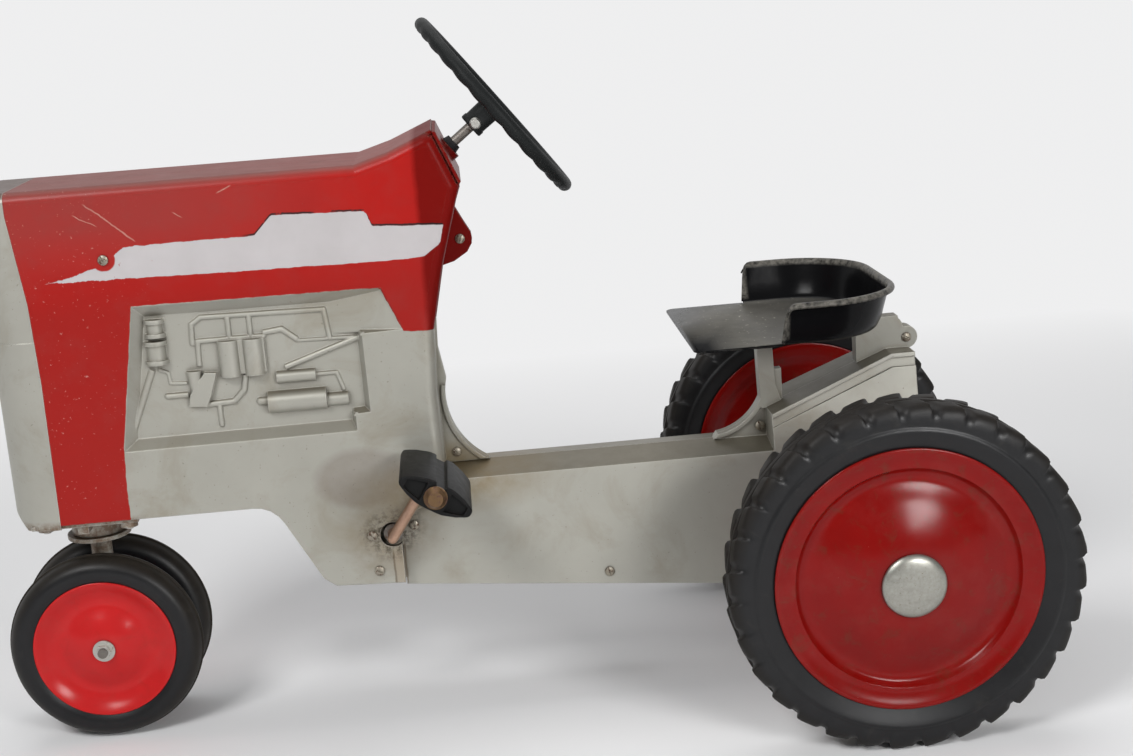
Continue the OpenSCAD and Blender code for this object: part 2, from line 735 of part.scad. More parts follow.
module axle_bearing_right() color("dimgray") from_front_axle() on_side(true) axle_bearing();

// Places its children in the plane of the chain, with +X from the crank to the rear axle
module chain_plane(y)
    translate([crank[0], y, crank[1]]) rotate([90, 0, 0]) rotate([0, 0, drive_angle]) children();

// Point at an angle on a circle
function around(c, r, a) = c + r * [cos(a), sin(a)];

// Outline of the chain loop, o outside its pitch line
function loop_outline(o) = concat(
    [for (i = [0:30]) around([0, 0], crank_pitch_r + o,
                             90 - run_a + i * (180 + 2 * run_a) / 30)],
    [for (i = [0:16]) around([drive_len, 0], axle_pitch_r + o,
                             -90 + run_a + i * (180 - 2 * run_a) / 16)]
);

// Place of the roller number s on the loop, counted from the top of the crank sprocket
function roller_at(s) =
    let (up = [sin(run_a), cos(run_a)], down = [sin(run_a), -cos(run_a)], far = [drive_len, 0],
         on_axle = axle_wrap(run_a))
    s < run_links ? up * crank_pitch_r * (1 - s / run_links)
                    + (far + up * axle_pitch_r) * s / run_links
    : s < run_links + on_axle
        ? around(far, axle_pitch_r, 90 - run_a - (s - run_links) * 360 / axle_teeth)
    : s < 2 * run_links + on_axle
        ? let (k = (s - run_links - on_axle) / run_links)
          (far + down * axle_pitch_r) * (1 - k) + down * crank_pitch_r * k
    : around([0, 0], crank_pitch_r,
             -90 + run_a - (s - 2 * run_links - on_axle) * 360 / crank_teeth);

module chain() color("saddlebrown") from_front_axle() {
    plate_t = 1.4;
    plate_y = sprocket_t / 2 + 0.9;
    for (side = [-1, 1])
        chain_plane(chain_y) translate([0, 0, side * (plate_y + plate_t / 2) - plate_t / 2])
            linear_extrude(plate_t) difference() {
                polygon(loop_outline(4.2));
                polygon(loop_outline(-4.2));
            }
    for (s = [0:chain_links - 1])
        chain_plane(chain_y) translate(concat(roller_at(s), [-plate_y - 0.3]))
            cylinder(r = roller_r, h = 2 * plate_y + 0.6);
}

// Sprocket with a pocket for each roller, centred at the origin
module sprocket(teeth, pitch_r, bore_r, hub_r, first_angle) {
    translate([0, 0, -sprocket_t / 2]) linear_extrude(sprocket_t) difference() {
        circle(r = pitch_r + 2);
        circle(r = bore_r);
        for (i = [0:teeth - 1]) rotate(first_angle + i * 360 / teeth) translate([pitch_r, 0]) {
            circle(r = roller_r + gap);
            polygon([[0, -roller_r - gap], [3, -roller_r - 3.4], [3, roller_r + 3.4],
                     [0, roller_r + gap]]);
        }
    }
    translate([0, 0, sprocket_t / 2]) difference() {
        cylinder(r = hub_r, h = 9);
        translate([0, 0, -1]) cylinder(r = bore_r, h = 12);
    }
}

module crank_sprocket() color("dimgray") from_front_axle() chain_plane(chain_y)
    sprocket(crank_teeth, crank_pitch_r, crank_d / 2, 10, 90 - run_a);

module axle_sprocket() color("dimgray") from_front_axle() chain_plane(chain_y)
    translate([drive_len, 0, 0])
        sprocket(axle_teeth, axle_pitch_r, rear_axle_d / 2, 11,
                 90 - run_a - (ceil(run_links) - run_links) * 360 / axle_teeth);

// One rod, bent into two arms and two pedal pins
module crank_rod() color("peru") from_front_axle() {
    r = crank_d / 2;
    pin_y(crank, r, -arm_y, arm_y);
    for (side = [-1, 1]) {
        arm = crank - side * left_arm;
        translate([0, side * arm_y, 0]) {
            translate([crank[0], 0, crank[1]]) sphere(r = r);
            strut(crank, arm, r, 0);
        }
        pin_y(arm, r, side < 0 ? -pin_end_y : arm_y, side < 0 ? -arm_y : pin_end_y);
    }
}

module pedal(side) {
    at = crank - side * left_arm;
    // The block hangs with its rear edge low, as a foot leaves it
    droop = 32;
    section = [[-35, -4], [-35, 4], [-22, 10], [-9, 13], [9, 13], [22, 10], [35, 4], [35, -4],
               [22, -10], [9, -13], [-9, -13], [-22, -10]];
    y0 = side < 0 ? -pedal_y1 : pedal_y0;
    translate([at[0], 0, at[1]]) rotate([0, droop, 0]) difference() {
        slab(section, y0, y0 + pedal_y1 - pedal_y0);
        pin_y([0, 0], crank_d / 2 + running, -300, 300);
        // Groove along the upper tread face
        translate([-5, y0 - 1, 9.5]) cube([10, pedal_y1 - pedal_y0 + 2, 7]);
    }
}

module pedal_left() color("black") from_front_axle() pedal(-1);

module pedal_right() color("black") from_front_axle() pedal(1);

// Press-on caps at the ends of the pedal pins
module pedal_caps() color("chocolate") from_front_axle() for (side = [-1, 1]) {
    at = crank - side * left_arm;
    translate([at[0], side * (pedal_y1 + gap), at[1]]) rotate([-90 * side, 0, 0]) difference() {
        union() {
            cylinder(r = 10.5, h = 2);
            translate([0, 0, 2]) cylinder(r1 = 10, r2 = 6.5, h = 5);
        }
        translate([0, 0, -1]) cylinder(r = crank_d / 2, h = pin_end_y - pedal_y1 - gap + 1);
    }
}

// Solid of revolution about Y: profile as [radius, distance out from the middle plane]
module wheel_part(mid_y, profile)
    translate([0, -mid_y, 0]) towards_left() rotate_extrude($fn = 96) polygon(profile);

// Sheet profile: a line of points with the sheet's thickness behind it
function sheet(points, t) = concat(points,
    [for (i = [len(points) - 1:-1:0]) points[i] - [0, t]]);

// Tyre profile from one side of it, as [height above the bead, share of the half width]
function tyre_profile(bead, half, side) = concat(
    [for (p = side) [bead + p[0], p[1] * half]],
    [for (i = [len(side) - 1:-1:0]) [bead + side[i][0], -side[i][1] * half]]
);

module rear_tyre() {
    lug_step = 360 / lugs;
    half = rear_tyre_w / 2;
    intersection() {
        union() {
            wheel_part(disc_mid_y, tyre_profile(rear_rim_r - 13, half, [[0, 0.62], [14, 0.78],
                [23.5, 1], [35, 0.97], [44, 0.82], [rear_r - rear_rim_r + 8, 0.6]]));
            for (i = [0:lugs - 1], shoulder = [-1, 1])
                translate([0, -disc_mid_y, 0]) rotate([0, (i + shoulder / 4) * lug_step, 0])
                    translate([0, shoulder * half * 0.46, rear_r - 13]) rotate([0, 0, shoulder * 18])
                        translate([-9.5, -half * 0.46, 0]) cube([19, half * 0.92, 14]);
        }
        pin_y([0, 0], rear_r, -disc_mid_y - half, -disc_mid_y + half);
    }
}

// Outer pressed disc of a rear wheel: flange, step, valley and dome
module rear_disc() wheel_part(disc_mid_y, sheet([
    [rear_rim_r, 22.5], [rear_rim_r - 3, 22.8], [rear_rim_r - 11, 20.2], [rear_rim_r - 15, 18.8],
    [rear_rim_r - 19, 18.6], [rear_rim_r - 22, 14.2], [rear_rim_r - 28, 12.2],
    [rear_rim_r - 36, 14], [70, 20.5], [55, 26], [40, 30.5], [28, 32.6], [12, 33]
], sheet_t));

// Inner pressed disc, flatter and turned towards the frame
module rear_inner_disc() wheel_part(disc_mid_y, sheet([
    [rear_rim_r, -20.9], [rear_rim_r - 3, -21.2], [rear_rim_r - 11, -18.6],
    [rear_rim_r - 15, -17.2], [rear_rim_r - 22, -12.6], [rear_rim_r - 30, -10.6],
    [rear_rim_r - 55, -11], [40, -16], [20, -21], [12, -22]
], sheet_t));

// Hub tube: the left wheel is pressed to the axle and the right one runs on it
module rear_hub(bore_r) wheel_part(disc_mid_y, [[bore_r, -25], [bore_r, hub_face],
    [12, hub_face], [12, -25]]);

module at_rear_axle() translate([rear_axle_at[0], 0, rear_axle_at[1]]) children();

module rear_tyre_left() color("black") from_front_axle() at_rear_axle() rear_tyre();

module rear_disc_left() color("darkred") from_front_axle() at_rear_axle() rear_disc();

module rear_inner_disc_left() color("darkred") from_front_axle() at_rear_axle() rear_inner_disc();

module rear_hub_left() color("dimgray") from_front_axle() at_rear_axle()
    rear_hub(rear_axle_d / 2);

module rear_tyre_right() color("black") from_front_axle() at_rear_axle() on_side(true) rear_tyre();

module rear_disc_right() color("darkred") from_front_axle() at_rear_axle() on_side(true) rear_disc();

module rear_inner_disc_right() color("darkred") from_front_axle() at_rear_axle()
    on_side(true) rear_inner_disc();

module rear_hub_right() color("dimgray") from_front_axle() at_rear_axle()
    on_side(true) rear_hub(rear_axle_d / 2 + running);

module rear_axle() color("dimgray") from_front_axle() at_rear_axle()
    pin_y([0, 0], rear_axle_d / 2, -disc_mid_y - hub_face - 4, disc_mid_y + hub_face + 4);

// Sleeves on the axle between the bearings and the hubs
module axle_spacers() color("dimgray") from_front_axle() at_rear_axle() for (right = [false, true])
    on_side(right) difference() {
        pin_y([0, 0], 9.5, -disc_mid_y + 25 + gap, -axle_boss_y - 4 - gap);
        pin_y([0, 0], rear_axle_d / 2, -300, 0);
    }

// Domed caps pressed on the axle's ends
module hub_caps() color("gainsboro") from_front_axle() at_rear_axle() for (right = [false, true])
    on_side(right) difference() {
        wheel_part(disc_mid_y, [[0, hub_face + gap], [28.5, hub_face + gap], [28.5, hub_face + 1.6],
            [27.4, hub_face + 3.4], [24, hub_face + 5.2], [17, hub_face + 7], [9, hub_face + 7.8],
            [0, hub_face + 8]]);
        pin_y([0, 0], rear_axle_d / 2, -disc_mid_y - hub_face - 4, 0);
    }

// Front end: a post that swivels in the bolster and carries both wheels on one axle
module pedestal() color("silver") from_front_axle() difference() {
    union() {
        translate([0, 0, front_r]) cylinder(r = 10, h = swivel_z - 4 - front_r);
        pin_y([0, front_r], 13, -13, 13);
        translate([0, 0, swivel_z - 4.5]) cylinder(r = 30, h = 4);
        translate([0, 0, swivel_z - 7]) cylinder(r1 = 14, r2 = 20, h = 3);
        translate([0, 0, swivel_z - 1]) cylinder(r = spindle_r, h = arm_pin[1] + 9 - swivel_z + 1);
    }
    pin_y([0, front_r], front_axle_d / 2, -20, 20);
}

// Slotted lever on top of the spindle: the finger of the steering shaft moves it
module steering_arm() color("dimgray") from_front_axle()
    translate([0, 0, arm_pin[1] - arm_t / 2]) linear_extrude(arm_t) difference() {
        union() {
            circle(r = 15);
            translate([0, -13]) square([46, 26]);
            translate([46, 0]) circle(r = 13);
        }
        circle(r = spindle_r);
        translate([30, -arm_slot_w / 2]) square([18, arm_slot_w]);
        for (x = [30, 48]) translate([x, 0]) circle(r = arm_slot_w / 2);
    }

module spindle_nut() color("gainsboro") from_front_axle()
    translate([0, 0, arm_pin[1] + arm_t / 2]) difference() {
        cylinder(r = 12, h = 5, $fn = 6);
        translate([0, 0, -1]) cylinder(r = spindle_r, h = 8);
    }

module front_axle() color("dimgray") from_front_axle()
    pin_y([0, front_r], front_axle_d / 2, -front_mid_y - 27, front_mid_y + 27);

module front_nuts() color("gainsboro") from_front_axle() for (right = [false, true]) on_side(right)
    difference() {
        union() {
            pin_y([0, front_r], 10.5, -front_mid_y - 19.8, -front_mid_y - 18.4);
            translate([0, -front_mid_y - 19.8, front_r]) towards_left() cylinder(r = 7.5, h = 5, $fn = 6);
        }
        pin_y([0, front_r], front_axle_d / 2, -100, 0);
    }

module at_front_axle() translate([0, 0, front_r]) children();

// Rounded front tyre with a low ridge around the middle of its tread
module front_tyre() wheel_part(front_mid_y, tyre_profile(front_rim_r - 6, front_tyre_w / 2, [
    [0, 0.62], [6, 0.745], [11, 0.95], [16, 1], [21, 0.93], [25.5, 0.74],
    [front_r - front_rim_r + 4.1, 0.42], [front_r - front_rim_r + 4.6, 0.11],
    [front_r - front_rim_r + 6, 0.07]
]));

module front_disc() wheel_part(front_mid_y, sheet([
    [front_rim_r, 15.2], [front_rim_r - 2, 15.8], [front_rim_r - 6.5, 13.4], [front_rim_r - 12, 9.6],
    [48, 7], [42, 6.6], [36, 9], [27, 13.4], [16, 16.6], [9, 17.6]
], sheet_t));

module front_inner_disc() wheel_part(front_mid_y, sheet([
    [front_rim_r, -13.6], [front_rim_r - 2, -14.2], [front_rim_r - 6.5, -11.8],
    [front_rim_r - 12, -8], [48, -5.4], [36, -7], [20, -13], [9, -14.6]
], sheet_t));

module front_hub() wheel_part(front_mid_y, [
    [front_axle_d / 2 + running, -front_mid_y + 13 + gap], [front_axle_d / 2 + running, 18],
    [9, 18], [9, -front_mid_y + 13 + gap]]);

module front_tyre_left() color("black") from_front_axle() at_front_axle() front_tyre();

module front_disc_left() color("crimson") from_front_axle() at_front_axle() front_disc();

module front_inner_disc_left() color("crimson") from_front_axle() at_front_axle() front_inner_disc();

module front_hub_left() color("dimgray") from_front_axle() at_front_axle() front_hub();

module front_tyre_right() color("black") from_front_axle() at_front_axle() on_side(true) front_tyre();

module front_disc_right() color("crimson") from_front_axle() at_front_axle() on_side(true) front_disc();

module front_inner_disc_right() color("crimson") from_front_axle() at_front_axle()
    on_side(true) front_inner_disc();

module front_hub_right() color("dimgray") from_front_axle() at_front_axle() on_side(true) front_hub();

// Steering wheel: three spokes between the hub and the rim
module steering_wheel() color("dimgray") from_front_axle() along_steering(wheel_hub) {
    rim_r = 6.5;
    difference() {
        union() {
            rotate_extrude($fn = 96) translate([steering_d / 2 - rim_r, 0]) circle(r = rim_r);
            for (a = [0, 120, 240]) rotate(a)
                translate([8, -7, -3.5]) cube([steering_d / 2 - rim_r - 8, 14, 7]);
            translate([0, 0, -30]) cylinder(r = 13, h = 34);
        }
        translate([0, 0, -31]) cylinder(r = shaft_d / 2, h = 31);
        translate([0, 0, -24]) rotate([90, 0, 0]) translate([0, 0, -20]) cylinder(r = 2.5, h = 40);
    }
}

module steering_shaft() color("dimgray") from_front_axle() {
    length = norm(wheel_hub - shaft_end);
    difference() {
        union() {
            along_steering(shaft_end) cylinder(r = shaft_d / 2, h = length);
            translate([shaft_end[0], 0, shaft_end[1]]) sphere(r = shaft_d / 2);
            strut(shaft_end, arm_pin + 6 * finger_dir, 4, 0);
        }
        along_steering(wheel_hub) translate([0, 0, -24]) rotate([90, 0, 0])
            translate([0, 0, -20]) cylinder(r = 2.5, h = 40);
    }
}

module wheel_bolt() color("gainsboro") from_front_axle() along_steering(wheel_hub)
    translate([0, 0, -24]) rotate([90, 0, 0]) {
        translate([0, 0, -18]) cylinder(r = 2.5, h = 31);
        translate([0, 0, 13]) cylinder(r1 = 5.5, r2 = 4, h = 3.5);
        translate([0, 0, -17]) cylinder(r = 5, h = 4, $fn = 6);
    }

front_casting_left();
front_casting_right();
rear_casting_left();
rear_casting_right();
nose_grille();
dash_panel();
bolster();
steering_bush();
steering_bracket();
seat();
seat_bolts();
casting_screws();
flange_screws();
bolster_screws();
crank_bearing_left();
crank_bearing_right();
axle_bearing_left();
axle_bearing_right();
chain();
steering_wheel();
steering_shaft();
wheel_bolt();
pedestal();
steering_arm();
spindle_nut();
front_axle();
front_nuts();
front_tyre_left();
front_disc_left();
front_inner_disc_left();
front_hub_left();
front_tyre_right();
front_disc_right();
front_inner_disc_right();
front_hub_right();
crank_rod();
crank_sprocket();
pedal_caps();
pedal_left();
pedal_right();
rear_axle();
axle_sprocket();
axle_spacers();
hub_caps();
rear_tyre_left();
rear_disc_left();
rear_inner_disc_left();
rear_hub_left();
rear_tyre_right();
rear_disc_right();
rear_inner_disc_right();
rear_hub_right();
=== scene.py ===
import json
import math

import bmesh
import bpy
from mathutils import Matrix, Vector

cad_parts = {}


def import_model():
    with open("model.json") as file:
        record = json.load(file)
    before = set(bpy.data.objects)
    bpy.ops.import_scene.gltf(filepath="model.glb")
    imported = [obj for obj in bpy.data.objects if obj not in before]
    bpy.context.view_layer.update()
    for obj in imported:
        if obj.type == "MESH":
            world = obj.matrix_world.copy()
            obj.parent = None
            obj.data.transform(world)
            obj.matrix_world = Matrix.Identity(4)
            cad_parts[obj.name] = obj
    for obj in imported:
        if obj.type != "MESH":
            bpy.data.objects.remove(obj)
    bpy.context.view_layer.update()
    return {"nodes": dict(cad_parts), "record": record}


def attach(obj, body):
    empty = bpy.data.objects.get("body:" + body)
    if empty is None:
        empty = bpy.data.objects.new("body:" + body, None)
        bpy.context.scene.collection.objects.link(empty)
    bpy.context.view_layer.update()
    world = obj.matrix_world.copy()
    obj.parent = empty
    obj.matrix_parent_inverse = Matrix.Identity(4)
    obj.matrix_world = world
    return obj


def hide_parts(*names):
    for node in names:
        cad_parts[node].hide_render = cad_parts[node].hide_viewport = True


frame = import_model()
nodes = frame["nodes"]

# Places in the source are millimetres behind the front axle; here they become metres in the row frame.
FRONT_AXLE_X = -0.4005

# Centres of the wheels and the crank, and of the screw in the stripe, seen from the side
REAR, FRONT = (735.0, 158.0), (0.0, 92.0)
CRANK_AT = (286.3, 188.5)
STRIPE_SCREW = (53, 470)
HALF_WIDTH = 72.5
STREAK_X = 290.0


def mm(x, y, z):
    return Vector((x / 1000 + FRONT_AXLE_X, y / 1000, z / 1000))


# Shader helpers
class Shade:
    """A material built from nodes. Sizes are in millimetres."""

    def __init__(self, name):
        self.m = bpy.data.materials.new(name)
        self.m.use_nodes = True
        self.t = self.m.node_tree
        self.t.nodes.clear()
        self.out = self.t.nodes.new("ShaderNodeOutputMaterial")
        self.p = self.t.nodes.new("ShaderNodeBsdfPrincipled")
        self.t.links.new(self.p.outputs[0], self.out.inputs[0])
        self.co = self.t.nodes.new("ShaderNodeTexCoord").outputs["Object"]

    def put(self, socket, value):
        if isinstance(value, bpy.types.NodeSocket):
            self.t.links.new(value, socket)
        elif socket.type == "RGBA":
            socket.default_value = (*value, 1.0)
        else:
            socket.default_value = value

    def set(self, **inputs):
        for k, v in inputs.items():
            self.put(self.p.inputs[k.replace("_", " ")], v)

    def node(self, kind, *values, out=0, **props):
        n = self.t.nodes.new(kind)
        for k, v in props.items():
            setattr(n, k, v)
        for i, v in enumerate(values):
            if v is not None:
                self.put(n.inputs[i], v)
        return n.outputs[out]

    def math(self, op, a, b=None, c=None):
        return self.node("ShaderNodeMath", a, b, c, operation=op)

    def xyz(self, vector=None):
        n = self.t.nodes.new("ShaderNodeSeparateXYZ")
        self.put(n.inputs[0], vector or self.co)
        return n.outputs

    def noise(self, size, detail=3.0, rough=0.55, vector=None, distort=0.0):
        """Noise from 0 to 1 with features about size millimetres across."""
        n = self.t.nodes.new("ShaderNodeTexNoise")
        self.put(n.inputs["Vector"], vector or self.co)
        n.inputs["Scale"].default_value = 1000.0 / size
        n.inputs["Detail"].default_value = detail
        n.inputs["Roughness"].default_value = rough
        n.inputs["Distortion"].default_value = distort
        return n.outputs[0]

    def step(self, value, lo, hi):
        """0 below lo, 1 above hi, straight between them."""
        n = self.t.nodes.new("ShaderNodeMapRange")
        self.put(n.inputs["Value"], value)
        n.inputs["From Min"].default_value = lo
        n.inputs["From Max"].default_value = hi
        return n.outputs[0]

    def span(self, value, lo, hi):
        """Stretches 0..1 to lo..hi."""
        n = self.t.nodes.new("ShaderNodeMapRange")
        self.put(n.inputs["Value"], value)
        n.inputs["To Min"].default_value = lo
        n.inputs["To Max"].default_value = hi
        return n.outputs[0]

    def mix(self, fac, a, b):
        n = self.t.nodes.new("ShaderNodeMix")
        n.data_type = "RGBA"
        self.put(n.inputs[0], fac)
        self.put(n.inputs[6], a)
        self.put(n.inputs[7], b)
        return n.outputs[2]

    def line(self, value, points):
        """Straight-line graph through (value, result) points."""
        lo, hi = points[0][0], points[-1][0]
        peak = max(abs(p[1]) for p in points)
        n = self.t.nodes.new("ShaderNodeFloatCurve")
        c = n.mapping.curves[0]
        while len(c.points) < len(points):
            c.points.new(0.5, 0.5)
        for q, (x, y) in zip(c.points, points):
            q.location = ((x - lo) / (hi - lo), y / peak)
            q.handle_type = "VECTOR"
        n.mapping.extend = "HORIZONTAL"
        n.mapping.update()
        self.put(n.inputs["Value"], self.step(value, lo, hi))
        return self.math("MULTIPLY", n.outputs[0], peak)

    def worn_edge(self, radius):
        """1 on sharp edges, 0 on open faces, and the softened normal."""
        n = self.t.nodes.new("ShaderNodeBevel")
        n.samples = 4
        n.inputs["Radius"].default_value = radius / 1000
        geo = self.t.nodes.new("ShaderNodeNewGeometry")
        dot = self.node("ShaderNodeVectorMath", n.outputs[0], geo.outputs["Normal"],
                        operation="DOT_PRODUCT", out=1)
        return self.step(dot, 0.99, 0.86), n.outputs[0]

    def corner_shade(self, reach):
        """Mask for painted shade: 1 deep in a corner, 0 in the open, looking reach millimetres around."""
        n = self.t.nodes.new("ShaderNodeAmbientOcclusion")
        n.samples = 6
        n.inputs["Distance"].default_value = reach / 1000
        return self.step(n.outputs["AO"], 0.85, 0.35)

    def facing_up(self, lo=0.35, hi=0.9):
        geo = self.t.nodes.new("ShaderNodeNewGeometry")
        return self.step(self.xyz(geo.outputs["Normal"])[2], lo, hi)

    def place(self):
        """Millimetres behind the front axle, to the right and above the floor, a little wavy."""
        x, y, z = self.xyz()[0:3]
        wave = self.span(self.noise(12, 3, 0.6), -1.3, 1.3)
        px = self.math("ADD", self.math("MULTIPLY_ADD", x, 1000.0, -1000.0 * FRONT_AXLE_X), wave)
        pz = self.math("ADD", self.math("MULTIPLY", z, 1000.0), wave)
        return px, y, pz

    def spot(self, px, pz, at, half, soft):
        """1 inside an ellipse of half sizes half about at, fading over soft of its size."""
        dx = self.math("DIVIDE", self.math("SUBTRACT", px, float(at[0])), float(half[0]))
        dz = self.math("DIVIDE", self.math("SUBTRACT", pz, float(at[1])), float(half[1]))
        d = self.math("SQRT", self.math("ADD", self.math("MULTIPLY", dx, dx),
                                        self.math("MULTIPLY", dz, dz)))
        return self.step(d, 1.0 + soft, 1.0 - soft)

    def bump(self, height, strength, distance, normal=None):
        n = self.t.nodes.new("ShaderNodeBump")
        self.put(n.inputs["Height"], height)
        n.inputs["Strength"].default_value = strength
        n.inputs["Distance"].default_value = distance / 1000
        if normal is not None:
            self.put(n.inputs["Normal"], normal)
        return n.outputs[0]


def both(s, a, b):
    return s.math("MULTIPLY", a, b)


def either(s, a, b):
    return s.math("MAXIMUM", a, b)


def invert(s, a):
    return s.math("SUBTRACT", 1.0, a)


# Materials
def stroke(s, px, pz, a, b, half):
    """1 along a thin scratch from a to b on the sides, its ends and its width a little uneven."""
    run = Vector(b) - Vector(a)
    length, run = run.length, run.normalized()
    x, z = s.math("SUBTRACT", px, float(a[0])), s.math("SUBTRACT", pz, float(a[1]))
    along = s.math("ADD", s.math("MULTIPLY", x, run.x), s.math("MULTIPLY", z, run.y))
    off = s.math("ABSOLUTE", s.math("SUBTRACT", s.math("MULTIPLY", x, run.y),
                                    s.math("MULTIPLY", z, run.x)))
    ends = both(s, s.step(along, 0.0, 3.0), s.step(along, length, length - 3.0))
    return both(s, both(s, s.step(off, half, 0.3 * half), ends), s.span(s.noise(5, 3, 0.7), 0.2, 1.1))


def silver_colour(s, edge, px, pz):
    """Aluminium paint with yellow-brown grime, darker on level faces, with painted shade and grime in the
    corners, a painted pedal shadow and painted shade in the crank hole.
    """
    base = s.mix(s.noise(90, 4, 0.6), (0.425, 0.415, 0.37), (0.33, 0.322, 0.28))
    grime = s.step(s.noise(75, 5, 0.65, distort=0.6), 0.50, 0.72)
    base = s.mix(s.math("MULTIPLY", grime, 0.45), base, (0.24, 0.205, 0.14))
    # Painted shade in the corners, brownish with grime
    base = s.mix(s.math("MULTIPLY", s.corner_shade(9), 0.75), base, (0.095, 0.08, 0.055))
    level = both(s, s.facing_up(0.5, 0.95), s.span(s.noise(28, 4, 0.6), 0.75, 1.0))
    base = s.mix(level, base, (0.155, 0.137, 0.10))
    # Painted shadow of the near pedal, ahead of and above the crank hole
    pedal_shadow = both(s, s.spot(px, pz, (262, 245.5), (42, 28), 0.14), s.span(s.noise(20, 4, 0.6), 0.3, 0.8))
    base = s.mix(s.math("MULTIPLY", pedal_shadow, 0.85), base, (0.205, 0.168, 0.142))
    foot = both(s, s.spot(px, pz, (345, 228), (75, 26), 0.5), s.span(s.noise(14, 4, 0.7), 0.15, 1.1))
    base = s.mix(foot, base, (0.22, 0.165, 0.085))
    neck = both(s, s.step(pz, 231.0, 224.0), s.step(px, 70.0, 50.0))
    neck = both(s, neck, s.step(s.noise(10, 5, 0.7), 0.36, 0.58))
    base = s.mix(s.math("MULTIPLY", neck, 0.85), base, (0.13, 0.07, 0.035))
    specks = s.step(s.noise(2.6, 2, 0.6), 0.70, 0.76)
    base = s.mix(s.math("MULTIPLY", specks, 0.5), base, (0.10, 0.085, 0.06))
    chips = s.step(s.noise(9, 3, 0.7), 0.73, 0.76)
    base = s.mix(s.math("MULTIPLY", chips, 0.6), base, (0.15, 0.14, 0.12))
    # Brown top of the nose, grime about the crank hole and the tan streak under it, and patchy painted
    # shade inside the hole
    nose = both(s, s.facing_up(0.3, 0.8), s.step(pz, 492.0, 500.0))
    base = s.mix(s.math("MULTIPLY", nose, 0.95), base, (0.11, 0.073, 0.062))
    around = both(s, s.spot(px, pz, CRANK_AT, (44, 34), 0.35), s.span(s.noise(12, 4, 0.7), 0.0, 0.8))
    base = s.mix(around, base, (0.20, 0.155, 0.095))
    off = s.math("ABSOLUTE", s.math("SUBTRACT", px, STREAK_X))
    under = both(s, s.step(pz, 176.0, 170.0), s.step(pz, 130.0, 136.0))
    base = s.mix(both(s, s.math("MULTIPLY", s.step(off, 5.0, 3.4), 0.5), under), base, (0.33, 0.265, 0.19))
    rim = s.math("ABSOLUTE", s.math("SUBTRACT", off, 5.0))
    base = s.mix(both(s, s.math("MULTIPLY", s.step(rim, 1.4, 0.3), 0.7), under), base, (0.12, 0.085, 0.05))
    # Painted shade inside the crank hole, in patches
    ring = both(s, s.spot(px, pz, CRANK_AT, (24, 21), 0.4), s.step(s.noise(5, 5, 0.75), 0.44, 0.6))
    base = s.mix(s.math("MULTIPLY", ring, 0.85), base, (0.05, 0.038, 0.025))
    return s.mix(s.math("MULTIPLY", edge, 0.55), base, (0.66, 0.64, 0.58))


def silver_paint():
    s = Shade("silver_paint")
    edge, soft = s.worn_edge(1.6)
    px, _, pz = s.place()
    s.set(Base_Color=silver_colour(s, edge, px, pz), Metallic=0.45)
    s.set(Roughness=s.span(s.noise(14, 4, 0.6), 0.36, 0.54))
    s.set(Normal=s.bump(s.noise(1.4, 3, 0.6), 0.12, 0.3, soft))
    return s.m


HOOD_SCRATCHES = [((41, 522), (84, 484), 0.9), ((159, 521), (174, 528), 0.8), ((30, 512), (52, 500), 0.6),
                  ((118, 508), (128, 502), 0.6)]


